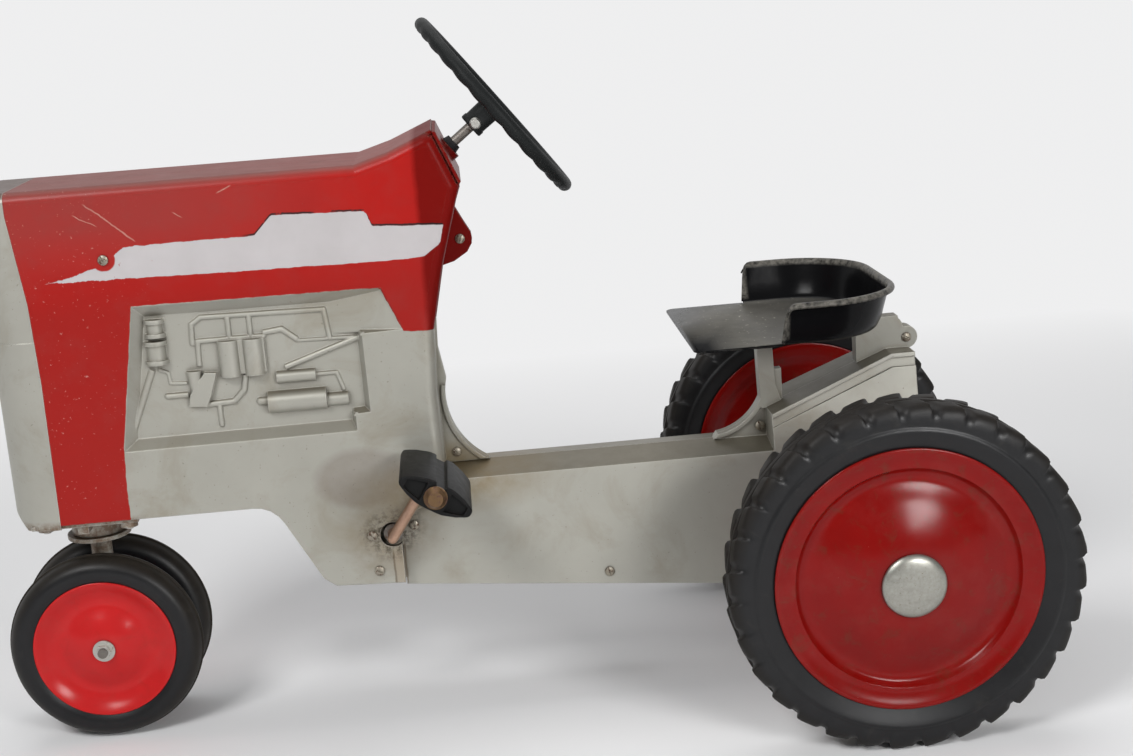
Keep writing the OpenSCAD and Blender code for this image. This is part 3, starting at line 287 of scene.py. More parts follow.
def hood_paint():
    """Red over silver, parted along the lines of the photo, with the bare stripe on each side."""
    s = Shade("hood_paint")
    px, y, pz = s.place()
    edge, soft = s.worn_edge(1.8)

    low = s.line(px, [(-90, 0), (46, 0), (46.8, 282), (49, 295), (72, 426), (296, 424),
                      (314, 382), (345, 380), (410, 380)])
    red_mask = s.step(s.math("SUBTRACT", pz, low), -0.3, 0.3)

    # Red enamel: duller with age, brownish on top, scuffed at the nose, worn along the edges, and with
    # painted shade in its corners
    red = s.mix(s.noise(45, 4, 0.6), (0.40, 0.007, 0.004), (0.32, 0.006, 0.004))
    red = s.mix(s.math("MULTIPLY", s.step(pz, 470.0, 420.0), 0.8), red, (0.28, 0.009, 0.006))
    faded = both(s, s.span(s.step(px, 300.0, 120.0), 0.0, 0.6), s.step(pz, 445.0, 500.0))
    faded = s.math("ADD", faded, s.math("MULTIPLY", s.step(s.noise(30, 5, 0.65), 0.50, 0.74), 0.2))
    red = s.mix(faded, red, (0.235, 0.044, 0.038))
    dusty = both(s, s.facing_up(), s.span(s.noise(25, 4, 0.6), 0.6, 1.0))
    red = s.mix(s.math("MULTIPLY", dusty, 0.95), red, (0.155, 0.062, 0.052))
    for a, b, half in HOOD_SCRATCHES:
        red = s.mix(s.math("MULTIPLY", stroke(s, px, pz, a, b, half), 0.75), red, (0.55, 0.32, 0.26))
    scuffs = both(s, s.step(s.noise(3.4, 3, 0.7), 0.66, 0.72), s.step(px, 110.0, 10.0))
    red = s.mix(s.math("MULTIPLY", scuffs, 0.6), red, (0.55, 0.33, 0.28))
    lip = both(s, s.step(px, -32.0, -38.0), s.step(s.noise(6, 3, 0.7), 0.35, 0.5))
    red = s.mix(s.math("MULTIPLY", lip, 0.6), red, (0.42, 0.24, 0.20))
    far = s.step(px, 334.0, 340.0)
    red = s.mix(s.math("MULTIPLY", far, 0.8), red, (0.115, 0.004, 0.003))
    chips = s.step(s.noise(6, 3, 0.75), 0.73, 0.75)
    red = s.mix(s.math("MULTIPLY", chips, 0.7), red, (0.17, 0.10, 0.08))
    bare = both(s, edge, s.step(s.noise(7, 3, 0.7), 0.40, 0.58))
    red = s.mix(s.math("MULTIPLY", bare, 0.65), red, (0.24, 0.15, 0.12))
    # Painted shade in the corners
    red = s.mix(s.math("MULTIPLY", s.corner_shade(6), 0.6), red, (0.09, 0.008, 0.006))

    # The stripe, bare of any sign: white film with a ragged front end and thin black edges
    top = s.line(px, [(-90, 452), (-7, 452), (20, 457), (48, 465), (60, 472), (72, 481), (189, 481),
                      (206, 498.5), (290, 495), (295, 481), (358, 477), (410, 477)])
    foot = s.line(px, [(-90, 452), (0, 451.8), (304, 448), (339, 449), (355, 460), (358.5, 476.8),
                       (410, 476.8)])
    on_side = s.step(s.math("ABSOLUTE", y), 0.0705, 0.0712)
    tail = s.step(px, 359.2, 358.6)
    ragged = s.span(s.noise(9, 4, 0.7), -2.6, 1.4)
    front = s.step(px, 120.0, 70.0)
    ragged = both(s, ragged, front)
    inside = s.math("MINIMUM", s.math("SUBTRACT", s.math("ADD", top, ragged), pz),
                    s.math("SUBTRACT", pz, s.math("SUBTRACT", foot, ragged)))
    stripe = both(s, both(s, s.step(inside, 0.0, 0.5), on_side), tail)
    flaked = s.step(s.noise(11, 4, 0.7), 0.66, 0.70)
    stripe_seen = both(s, stripe, invert(s, both(s, flaked, front)))
    stripe_seen = both(s, stripe_seen, invert(s, s.spot(px, pz, STRIPE_SCREW, (10.5, 10.5), 0.05)))
    black_line = both(s, both(s, s.step(inside, -1.9, -1.4), s.step(inside, 0.4, 0.0)), on_side)
    above = s.step(s.math("SUBTRACT", pz, top), -1.5, -1.0)
    black_line = both(s, both(s, black_line, above), both(s, tail, s.step(px, 176.0, 186.0)))
    black_line = both(s, black_line, s.step(s.noise(16, 3, 0.6), 0.40, 0.46))

    white = s.mix(s.noise(40, 4, 0.6), (0.51, 0.485, 0.49), (0.42, 0.395, 0.395))
    colour = s.mix(red_mask, silver_colour(s, edge, px, pz), red)
    colour = s.mix(s.math("MULTIPLY", black_line, 0.92), colour, (0.012, 0.012, 0.012))
    colour = s.mix(stripe_seen, colour, white)
    # Painted shade: the walls inside the crank hole are painted nearly black
    within = s.step(s.math("ABSOLUTE", y), 0.0700, 0.0690)
    hole = both(s, s.spot(px, pz, CRANK_AT, (27, 27), 0.02), within)
    colour = s.mix(hole, colour, (0.012, 0.010, 0.008))
    s.set(Base_Color=colour, Specular_IOR_Level=s.span(far, 0.2, 0.05))
    s.set(Metallic=s.math("MULTIPLY", invert(s, either(s, red_mask, stripe_seen)), 0.45))
    gloss = s.span(s.noise(22, 4, 0.6), 0.24, 0.38)
    gloss = s.math("ADD", gloss, s.math("MULTIPLY", dusty, 0.22))
    dull = s.span(s.noise(14, 4, 0.6), 0.36, 0.54)
    rough = s.math("ADD", both(s, red_mask, gloss), both(s, invert(s, red_mask), dull))
    s.set(Roughness=rough)
    height = s.math("ADD", s.math("MULTIPLY", s.noise(1.6, 3, 0.6), 0.5),
                    s.math("MULTIPLY", s.noise(9, 2, 0.5), 0.8))
    s.set(Normal=s.bump(height, 0.10, 0.35, soft))
    return s.m


def rim_paint(name, bright, deep, chip_amount, rough):
    s = Shade(name)
    edge, soft = s.worn_edge(0.9)
    colour = s.mix(s.noise(60, 4, 0.6), bright, deep)
    chips = s.step(s.noise(7, 4, 0.75), 0.76 - chip_amount, 0.775 - chip_amount)
    colour = s.mix(s.math("MULTIPLY", chips, 0.85), colour, (0.045, 0.022, 0.018))
    bare = both(s, edge, s.step(s.noise(5, 3, 0.7), 0.5, 0.62))
    colour = s.mix(s.math("MULTIPLY", bare, 0.6), colour, (0.10, 0.05, 0.04))
    mottle = s.step(s.noise(16, 6, 0.75, distort=0.5), 0.53, 0.68)
    colour = s.mix(s.math("MULTIPLY", mottle, 6.0 * chip_amount + 0.12), colour, (0.075, 0.030, 0.014))
    pale = s.step(s.noise(4, 3, 0.7), 0.745, 0.76)
    colour = s.mix(s.math("MULTIPLY", pale, 0.6), colour, (0.45, 0.26, 0.22))
    dust = s.step(s.noise(35, 5, 0.6), 0.5, 0.8)
    colour = s.mix(s.math("MULTIPLY", dust, 0.10), colour, (0.30, 0.10, 0.085))
    # Painted shade in the recesses of the pressed discs
    colour = s.mix(s.math("MULTIPLY", s.corner_shade(8), 0.6), colour, (0.05, 0.006, 0.005))
    s.set(Base_Color=colour, Specular_IOR_Level=0.2)
    s.set(Roughness=s.span(s.noise(18, 4, 0.6), rough, rough + 0.12))
    s.set(Normal=s.bump(s.noise(24, 3, 0.5), 0.10, 0.9, soft))
    return s.m


def tyre_rubber(name, centre, dusty):
    """Black rubber, brown with dust on the tread. The wheel stands on the floor under its centre."""
    s = Shade(name)
    x, _, z = s.xyz()[0:3]
    crown = centre[1] / 1000
    dx = s.math("SUBTRACT", x, FRONT_AXLE_X + centre[0] / 1000)
    dz = s.math("SUBTRACT", z, crown)
    radius = s.math("SQRT", s.math("ADD", s.math("MULTIPLY", dx, dx), s.math("MULTIPLY", dz, dz)))
    base = s.mix(s.noise(30, 4, 0.6), (0.004, 0.004, 0.0045), (0.009, 0.009, 0.010))
    tread = s.step(radius, crown - 0.012, crown)
    powder = both(s, tread, s.span(s.noise(9, 4, 0.7), 0.2, 1.0))
    base = s.mix(s.math("MULTIPLY", powder, dusty), base, (0.046, 0.037, 0.027))
    smear = s.step(s.noise(22, 5, 0.7, distort=0.8), 0.58, 0.74)
    base = s.mix(s.math("MULTIPLY", smear, 0.16), base, (0.060, 0.053, 0.043))
    s.set(Base_Color=base, Specular_IOR_Level=s.span(tread, 0.34, 0.10))
    s.set(Roughness=s.math("ADD", s.span(s.noise(12, 4, 0.6), 0.27, 0.44), s.math("MULTIPLY", tread, 0.2)))
    soft = s.worn_edge(1.5)[1]
    s.set(Normal=s.bump(s.noise(1.2, 3, 0.6), 0.22, 0.25, soft))
    return s.m


def metal(name, bright, dark, rust, rust_amount, rough=0.35, size=8.0, metallic=0.9):
    s = Shade(name)
    soft = s.worn_edge(0.5)[1]
    colour = s.mix(s.noise(size, 4, 0.65), bright, dark)
    spots = s.step(s.noise(size * 0.6, 5, 0.7), 0.66 - rust_amount, 0.74 - rust_amount)
    colour = s.mix(spots, colour, rust)
    s.set(Base_Color=colour)
    s.set(Metallic=s.math("MULTIPLY", invert(s, s.math("MULTIPLY", spots, 0.75)), metallic))
    s.set(Roughness=s.math("ADD", s.span(s.noise(size * 1.5, 4, 0.6), rough, rough + 0.2),
                           s.math("MULTIPLY", spots, 0.2)))
    s.set(Normal=s.bump(s.noise(1.1, 3, 0.6), 0.16, 0.25, soft))
    return s.m


def plastic(name, base, worn, rough, wear=0.5):
    s = Shade(name)
    edge, soft = s.worn_edge(1.1)
    colour = s.mix(s.noise(20, 4, 0.6), base, tuple(1.35 * c for c in base))
    rubbed = either(s, both(s, edge, s.step(s.noise(6, 3, 0.7), 0.42, 0.6)),
                    s.step(s.noise(16, 5, 0.7), 0.66, 0.74))
    colour = s.mix(s.math("MULTIPLY", rubbed, wear), colour, worn)
    s.set(Base_Color=colour, Specular_IOR_Level=0.14)
    s.set(Roughness=s.span(s.noise(9, 4, 0.6), rough, rough + 0.22))
    s.set(Normal=s.bump(s.noise(1.3, 3, 0.6), 0.2, 0.3, soft))
    return s.m


def seat_enamel():
    """Gloss black, rubbed to grey on the flat pan and along the rim."""
    s = Shade("seat_enamel")
    x, _, z = s.xyz()[0:3]
    edge, soft = s.worn_edge(1.4)
    up = s.facing_up(0.75, 0.95)
    pan = both(s, up, s.step(z, 0.352, 0.348))
    ahead = s.step(x, 0.33, 0.24)
    rub = both(s, pan, s.span(s.noise(35, 5, 0.65), 0.25, 1.0))
    rub = both(s, rub, s.span(ahead, 0.35, 1.0))
    colour = s.mix(s.noise(25, 4, 0.6), (0.003, 0.003, 0.0035), (0.006, 0.006, 0.0065))
    colour = s.mix(s.math("MULTIPLY", rub, 0.85), colour, (0.21, 0.20, 0.175))
    colour = s.mix(both(s, pan, s.math("MULTIPLY", s.step(s.noise(11, 6, 0.75), 0.52, 0.70), 0.7)), colour,
                   (0.085, 0.08, 0.066))
    flecks = both(s, pan, s.step(s.noise(5, 3, 0.7), 0.66, 0.70))
    colour = s.mix(s.math("MULTIPLY", flecks, 0.8), colour, (0.50, 0.47, 0.40))
    front = both(s, s.step(x, 0.2645, 0.2605), s.step(z, 0.349, 0.352))
    lip = either(s, s.step(z, 0.3795, 0.3825), front)
    lip = either(s, both(s, lip, s.step(s.noise(6, 5, 0.7), 0.32, 0.70)),
                 both(s, edge, s.step(s.noise(8, 4, 0.7), 0.46, 0.6)))
    colour = s.mix(s.math("MULTIPLY", lip, 0.8), colour, (0.24, 0.225, 0.195))
    s.set(Base_Color=colour, Specular_IOR_Level=0.08)
    s.set(Roughness=s.math("ADD", s.span(s.noise(15, 4, 0.6), 0.14, 0.26),
                           s.math("MULTIPLY", either(s, rub, lip), 0.35)))
    s.set(Normal=s.bump(s.noise(12, 3, 0.5), 0.10, 0.8, soft))
    return s.m


MATERIALS = {
    "hood_paint": hood_paint(),
    "silver_paint": silver_paint(),
    "seat_enamel": seat_enamel(),
    "zinc": metal("zinc", (0.62, 0.61, 0.57), (0.40, 0.39, 0.36), (0.16, 0.09, 0.04), 0.02, 0.30),
    "mount_steel": metal("mount_steel", (0.26, 0.24, 0.22), (0.13, 0.115, 0.10),
                         (0.10, 0.05, 0.025), 0.08, 0.40),
    "bush_nylon": plastic("bush_nylon", (0.016, 0.016, 0.017), (0.10, 0.09, 0.08), 0.45),
    "chain_steel": metal("chain_steel", (0.20, 0.15, 0.11), (0.10, 0.065, 0.04),
                         (0.12, 0.05, 0.02), 0.12, 0.45),
    "wheel_plastic": plastic("wheel_plastic", (0.009, 0.010, 0.010), (0.075, 0.078, 0.072), 0.40,
                             0.6),
    "front_rim_red": rim_paint("front_rim_red", (0.53, 0.018, 0.018), (0.43, 0.012, 0.013), 0.0,
                               0.15),
    "rear_rim_red": rim_paint("rear_rim_red", (0.225, 0.003, 0.002), (0.14, 0.002, 0.001), 0.045,
                              0.15),
    "crank_steel": metal("crank_steel", (0.52, 0.36, 0.27), (0.36, 0.20, 0.13),
                         (0.16, 0.06, 0.03), 0.05, 0.30),
    "cap_steel": metal("cap_steel", (0.22, 0.14, 0.06), (0.12, 0.065, 0.045), (0.10, 0.045, 0.03),
                       0.12, 0.35, 5.0),
    "hub_cap_steel": metal("hub_cap_steel", (0.43, 0.43, 0.39), (0.24, 0.23, 0.20),
                           (0.16, 0.125, 0.08), 0.05, 0.26, 3.5, 0.85),
    "pedal_rubber": plastic("pedal_rubber", (0.006, 0.006, 0.006), (0.055, 0.038, 0.034), 0.36, 0.35),
}
SCREW_STEEL = metal("screw_steel", (0.42, 0.40, 0.34), (0.22, 0.18, 0.13), (0.09, 0.045, 0.025), 0.14,
                    0.34, 5.0)
REAR_RUBBER = tyre_rubber("rear_rubber", REAR, 0.45)
FRONT_RUBBER = tyre_rubber("front_rubber", FRONT, 0.85)

SLOTS = {p["node"]: p["material_slot"] for p in frame["record"]["subparts"]}


def dress(obj, material):
    obj.data.materials.clear()
    obj.data.materials.append(material)


for name, obj in nodes.items():
    if SLOTS[name] == "tyre_rubber":
        dress(obj, REAR_RUBBER if name.startswith("rear") else FRONT_RUBBER)
    else:
        dress(obj, MATERIALS[SLOTS[name]])


# Mesh helpers
def piece(name, verts, faces, material, body, stands_for=(), sharp=35.0):
    """New object in the row frame: it rides on a body and stands for the CAD nodes named."""
    mesh = bpy.data.meshes.new(name)
    bm = bmesh.new()
    points = [bm.verts.new(v) for v in verts]
    for f in faces:
        bm.faces.new([points[i] for i in f])
    bmesh.ops.remove_doubles(bm, verts=bm.verts, dist=1e-6)
    bmesh.ops.recalc_face_normals(bm, faces=bm.faces)
    bm.to_mesh(mesh)
    bm.free()
    for p in mesh.polygons:
        p.use_smooth = True
    mesh.set_sharp_from_angle(angle=math.radians(sharp))
    obj = bpy.data.objects.new(name, mesh)
    bpy.context.scene.collection.objects.link(obj)
    dress(obj, material)
    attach(obj, body)
    if stands_for:
        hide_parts(*stands_for)
    return obj


def grid(rows, cols, around=False, along=False):
    """Quads of a grid of rows x cols points, closed around the columns or along the rows if asked."""
    faces = []
    for i in range(rows if along else rows - 1):
        for j in range(cols if around else cols - 1):
            a, b = i * cols + j, i * cols + (j + 1) % cols
            c, d = ((i + 1) % rows) * cols + (j + 1) % cols, ((i + 1) % rows) * cols + j
            faces.append((a, b, c, d))
    return faces


def joined(parts):
    """One (verts, faces) out of several."""
    verts, faces = [], []
    for v, f in parts:
        base = len(verts)
        verts += [tuple(p) for p in v]
        faces += [tuple(i + base for i in q) for q in f]
    return verts, faces


def soften(points, rounds=2):
    """Rounds the inner corners of a line of points; a point given twice stays sharper."""
    points = [Vector(p) for p in points]
    for _ in range(rounds):
        cut = [points[0]]
        for a, b in zip(points, points[1:]):
            cut += [a.lerp(b, 0.25), a.lerp(b, 0.75)]
        points = cut + [points[-1]]
    return points


def sheet(points, t, rounds=2):
    """Closed profile of a sheet t thick behind a softened line of (radius, distance out)."""
    line = soften(points, rounds)
    return line + [p - Vector((0, t)) for p in reversed(line)]


def turned(profile, centre, side, mid, steps=96, lift=None):
    """Ring of a closed (radius, distance out) profile about a wheel's axle, side -1 being the left."""
    verts = []
    for k in range(steps):
        a = 2 * math.pi * k / steps
        for q in profile:
            r, y = (q[0], q[1]) if lift is None else lift(a, q[0], q[1])
            verts.append(mm(centre[0] + r * math.sin(a), side * (mid + y), centre[1] + r * math.cos(a)))
    return verts, grid(steps, len(profile), around=True, along=True)


def smooth01(x):
    x = min(max(x, 0.0), 1.0)
    return x * x * (3 - 2 * x)


# Wheels
REAR_MID, FRONT_MID = 219.0, 32.0
LUGS = 32


def rear_lug(a, r, y):
    """Raises a middle rib and two rows of slanted lugs, each rising slowly to a steep end."""
    hand = 1 if y > 0 else -1
    turn = a * LUGS / (2 * math.pi) + hand * 0.25 - (abs(y) - 12) * 0.012
    u = turn - math.floor(turn)
    across = smooth01((u - 0.06) / 0.16) * smooth01((0.93 - u) / 0.09)
    across *= 0.5 + 0.5 * min((u - 0.06) / 0.65, 1.0)
    reach = smooth01((abs(y) - 2.5) / 3.0) * smooth01((r - 138.5) / 4.0)
    rib = 0.8 * smooth01((5.0 - abs(y)) / 2.5) * smooth01((r - 150) / 2)
    top = max(across * reach, rib)
    side = smooth01((r - 137.0) / 11.0)
    return r + top * min(5.4, 157.9 - r) * side, y + hand * top * 1.1 * (1 - side)


def rear_tyre_profile():
    half = [(107, 16.2), (119.5, 20.6), (126, 23.0), (131.5, 25.1), (134.2, 25.95), (134.2, 25.95),
            (136.2, 25.5), (137.6, 24.5), (141.5, 24.5), (147, 23.7), (151.2, 21.0), (153.3, 16.8),
            (154.3, 11.5), (154.6, 5.5), (154.6, 3.2), (154.6, 1.2)]
    half = soften(half, 1)
    return [Vector(p) for p in half] + [Vector((p[0], -p[1])) for p in reversed(half)]


def front_tyre_profile():
    half = soften([(62, 11.2), (67.5, 14.6), (73, 17.2), (78, 17.95), (83, 16.6), (87, 13.4),
                   (89.4, 9.0), (90.3, 4.2), (90.6, 2.1)], 2)
    half = [Vector(p) for p in half] + [Vector(p) for p in ((91.3, 1.7), (91.9, 1.1), (92, 0.5))]
    return half + [Vector((p[0], -p[1])) for p in reversed(half)]


REAR_DISC = [(119, 21.4), (119, 22.4), (117.6, 23.0), (115.5, 22.9), (109.5, 20.3), (104.5, 18.9),
             (100.4, 18.7), (100.4, 18.7), (97.2, 14.4), (95, 13.2), (91, 12.2), (87, 12.6), (80, 15.4),
             (70, 20.5), (55, 26), (40, 30.5), (28, 32.6), (12, 33)]
REAR_INNER = [(119, -19.9), (119, -20.9), (116, -21.2), (108, -18.6), (104, -17.2), (97, -12.6),
              (89, -10.6), (64, -11), (40, -16), (20, -21), (12, -22)]
FRONT_DISC = [(67.5, 14.4), (67.5, 15.3), (66.4, 15.9), (64.6, 15.2), (61, 13.2), (55.5, 9.7),
              (49, 7.0), (42, 6.4), (36, 8.8), (27, 13.4), (18, 16.4), (9, 17.6)]
FRONT_INNER = [(67.5, -12.8), (67.5, -13.7), (65.5, -14.2), (61, -11.8), (55.5, -8), (48, -5.4),
               (36, -7), (20, -13), (9, -14.6)]

for side, hand in ((-1, "left"), (1, "right")):
    rear_body = "rear_axle" if side < 0 else "rear_wheel_right"
    front_body = "front_wheel_" + hand
    v, f = turned(rear_tyre_profile(), REAR, side, REAR_MID, 608, rear_lug)
    piece("rear_tread_" + hand, v, f, REAR_RUBBER, rear_body, ["rear_tyre_" + hand])
    v, f = turned(front_tyre_profile(), FRONT, side, FRONT_MID, 128)
    piece("front_tread_" + hand, v, f, FRONT_RUBBER, front_body,
          ["front_tyre_" + hand])
    for name, line, where, mid, body, slot in (
            ("rear_disc_", REAR_DISC, REAR, REAR_MID, rear_body, "rear_rim_red"),
            ("rear_inner_disc_", REAR_INNER, REAR, REAR_MID, rear_body, "rear_rim_red"),
            ("front_disc_", FRONT_DISC, FRONT, FRONT_MID, front_body, "front_rim_red"),
            ("front_inner_disc_", FRONT_INNER, FRONT, FRONT_MID, front_body, "front_rim_red")):
        v, f = turned(sheet(line, 1.6), where, side, mid, 128)
        piece("pressed_" + name + hand, v, f, MATERIALS[slot], body, [name + hand])


def hub_cap(side):
    """Domed cap with a rolled rim and a few dents."""
    line = soften([(28.2, 33.4), (28.5, 34.2), (28.3, 35.4), (27.2, 36.6), (24, 38.6), (17, 40.2),
                   (9, 40.9), (0.01, 41)], 2)
    profile = line + [Vector((0.01, 33.4))]
    dents = [(11, 0.8, 4.5, 0.5), (17, 2.6, 5, 0.55), (8, 4.2, 4, 0.35), (20, 5.2, 4, 0.5)]

    def press(a, r, y):
        for dr, da, size, deep in dents:
            dx = r * math.sin(a) - dr * math.sin(da)
            dz = r * math.cos(a) - dr * math.cos(da)
            if y > 34:
                y -= deep * math.exp(-(dx * dx + dz * dz) / (size * size / 2))
        return r, y
    return turned(profile, REAR, side, REAR_MID, 96, press)


v, f = joined([hub_cap(-1), hub_cap(1)])
piece("domed_hub_caps", v, f, MATERIALS["hub_cap_steel"], "rear_axle", ["hub_caps"])


# Seat
SEAT_Z, SEAT_TOP = 346.0, 386.0


def wing_front(z):
    return 657.5 + 0.13 * (z - SEAT_Z)


def seat_outline(n=20):
    """Line around the wings and the back, from the left front end, with its outward directions."""
    centre_x, half, r = 696, 41.96, 66
    pts = [(Vector((657.5 + (centre_x - 657.5) * (k / 8) ** 1.6, -half - r)), Vector((0, -1)))
           for k in range(9)]
    for side in (-1, 1):
        for k in range(n + 1) if side < 0 else range(n, -1, -1):
            a = math.pi / 2 * k / n
            out = Vector((math.sin(a), side * math.cos(a)))
            if k > 0:
                pts.append((Vector((centre_x, side * half)) + out * r, out))
    return pts + [(Vector((p.x, -p.y)), Vector((0, 1))) for p, _ in reversed(pts[:9])]


def rim_height(x):
    """Height of the rolled rim, with a rounded end at the front of the wings."""
    corner = 8.0
    ahead = max(x - wing_front(SEAT_TOP), 0.0)
    if ahead < corner:
        return SEAT_TOP - corner + math.sqrt(corner * corner - (corner - ahead) ** 2)
    return SEAT_TOP


def seat_shell():
    """Pan, leaning walls and rolled rim: the upper side of a sheet."""
    outline = seat_outline()
    inside = [(-12, 346.0), (-8.5, 346.1), (-5.6, 346.9), (-3.4, 348.7), (-1.9, 351.8), (0.2, 356),
              (3.0, 366), (5.8, 376), (7.0, 380.4), (7.6, 382.8), (8.6, 384.8), (10.2, 385.9),
              (12.2, 385.9), (13.8, 385.0), (14.7, 383.6), (14.9, 382.0), (14.3, 380.6)]
    rows = []
    for at, out in outline:
        row = []
        top = rim_height(at.x + 5.2)
        for d, z in inside:
            z = SEAT_Z + (z - SEAT_Z) * (1 - (1 - (top - SEAT_Z) / (SEAT_TOP - SEAT_Z)) * (z > 366))
            x = at.x
            if x < 696:
                x = 696 - (696 - x) * (696 - wing_front(z)) / 38.5
            row.append((x + d * out.x, at.y + d * out.y, z))
        rows.append(row)
    cols = len(inside)
    verts = [mm(*p) for row in rows for p in row]
    faces = grid(len(rows), cols)
    # The flat pan: its front part widens backwards and has rounded front corners
    front = [(657.5, 106.9)]
    for turn in (1, -1):
        for k in range(7):
            a = math.pi / 2 * (k if turn > 0 else 6 - k) / 6
            front.append((587 - 10 * math.sin(a), turn * (96 + 10 * math.cos(a))))
    front.append((657.5, -106.9))
    base = len(verts)
    verts += [mm(x, y, SEAT_Z) for x, y in front]
    faces.append(tuple([i * cols for i in range(len(rows))]
                       + [base + k for k in range(len(front))]))
    return verts, faces


def tube(path, radius, steps=10):
    """Round bar along a line of points, closed at its ends."""
    path = [Vector(p) for p in path]
    verts = []
    for i, p in enumerate(path):
        ahead = (path[min(i + 1, len(path) - 1)] - path[max(i - 1, 0)]).normalized()
        side = ahead.cross(Vector((0, 1, 0)))
        side = (side if side.length > 0.2 else ahead.cross(Vector((1, 0, 0)))).normalized()
        up = side.cross(ahead)
        for k in range(steps):
            a = 2 * math.pi * k / steps
            verts.append(p + (side * math.cos(a) + up * math.sin(a)) * radius)
    faces = grid(len(path), steps, around=True)
    faces.append(tuple(range(steps)))
    faces.append(tuple((len(path) - 1) * steps + k for k in reversed(range(steps))))
    return verts, faces


v, f = seat_shell()
seat = piece("pressed_seat", v, f, MATERIALS["seat_enamel"], "tractor", ["seat"])
if seat.data.polygons[-1].normal.z < 0:
    seat.data.flip_normals()
skin = seat.modifiers.new("thickness", "SOLIDIFY")
skin.thickness = 0.0018
skin.offset = -1.0
ends = []
for side in (-1, 1):
    path = [(347.3, 0.6, -1.2), (352, 0.6, 0.5), (360, 0.6, 2.6), (370, 0.6, 5.4), (377, 0.8, 7.6),
            (380.8, 2.2, 9.0), (383.2, 4.6, 10.2), (384.1, 8.0, 11.0), (384.0, 13.0, 11.2)]
    ends.append(tube([mm(wing_front(z) + dx, side * (107.96 + d), z) for z, dx, d in path], 0.0017))
v, f = joined(ends)
piece("seat_wing_beads", v, f, MATERIALS["seat_enamel"], "tractor")


# Steering wheel
TILT = math.radians(37.6)
ALONG = Vector((math.cos(TILT), 0, math.sin(TILT)))
DOWN_REAR = Vector((math.sin(TILT), 0, -math.cos(TILT)))


def on_wheel(u, w, n):
    """Point of the wheel: u down-rear, w to the right, n along the shaft, in millimetres."""
    return mm(415.5, 0, 575) + (DOWN_REAR * u + Vector((0, 1, 0)) * w + ALONG * n) / 1000


def rim(steps=224, around=18, grips=28):
    verts = []
    for k in range(steps):
        a = 2 * math.pi * k / steps
        bump = 0.5 + 0.5 * math.cos(a * grips)
        for j in range(around):
            b = 2 * math.pi * j / around
            under = smooth01(-math.sin(b) * 1.25)
            r = 6.45 - 1.2 * under * (1 - bump ** 0.6)
            radius = 99 + r * math.cos(b)
            verts.append(on_wheel(radius * math.cos(a), radius * math.sin(a), r * math.sin(b)))
    return verts, grid(steps, around, around=True, along=True)


def spoke(angle):
    """Tapered spoke with a rounded section and a groove along its face."""
    verts = []
    stations = [(9, 11, 3.6), (22, 9.5, 3.4), (45, 7.8, 3.1), (70, 7.2, 3.0), (86, 8.0, 3.2),
                (95, 9.5, 3.6)]
    section = [(-1, 0), (-0.9, 0.7), (-0.6, 1), (-0.35, 0.95), (-0.25, 0.55), (0.25, 0.55),
               (0.35, 0.95), (0.6, 1), (0.9, 0.7), (1, 0), (0.8, -0.8), (0, -1), (-0.8, -0.8)]
    c, s = math.cos(angle), math.sin(angle)
    for r, half, thick in stations:
        for a, b in section:
            verts.append(on_wheel(r * c - a * half * s, r * s + a * half * c, b * thick))
    faces = grid(len(stations), len(section), around=True)
    faces += [tuple(range(len(section))),
              tuple((len(stations) - 1) * len(section) + k for k in reversed(range(len(section))))]
    return verts, faces


def wheel_boss():
    """Four-sided boss with soft corners, a lip at its foot and a dished cap on its face."""
    rings = [(-30, 12.2), (-29.2, 12.9), (-25, 12.9), (-24, 12.0), (-8, 12.4), (-3, 13.0), (0, 13),
             (2.4, 13), (3.6, 12.2), (4.0, 10.5), (3.2, 9.0), (3.2, 0.05)]
    steps = 48
    verts = []
    for n, r in rings:
        for k in range(steps):
            a = 2 * math.pi * k / steps
            square = (abs(math.cos(a)) ** 5 + abs(math.sin(a)) ** 5) ** (-1 / 5)
            grow = 1 + (min(square, 1.12) - 1) * (0.55 if n < -2 else 0.0)
            verts.append(on_wheel(r * grow * math.cos(a) * 0.95, r * grow * math.sin(a) * 0.95, n))
    faces = grid(len(rings), steps, around=True)
    faces += [tuple(range(steps)), tuple((len(rings) - 1) * steps + k for k in reversed(range(steps)))]
    return verts, faces


v, f = joined([rim(), wheel_boss()] + [spoke(math.radians(a)) for a in (0, 120, 240)])
piece("grip_steering_wheel", v, f, MATERIALS["wheel_plastic"], "steering",
      ["steering_wheel"], 50)


# Pedals
CRANK_TURN = math.radians(35)
ARM = 80 * Vector((math.sin(CRANK_TURN), math.cos(CRANK_TURN)))
PEDAL_Y = (91.0, 182.0)
PEDAL_DROOP = math.radians(32)


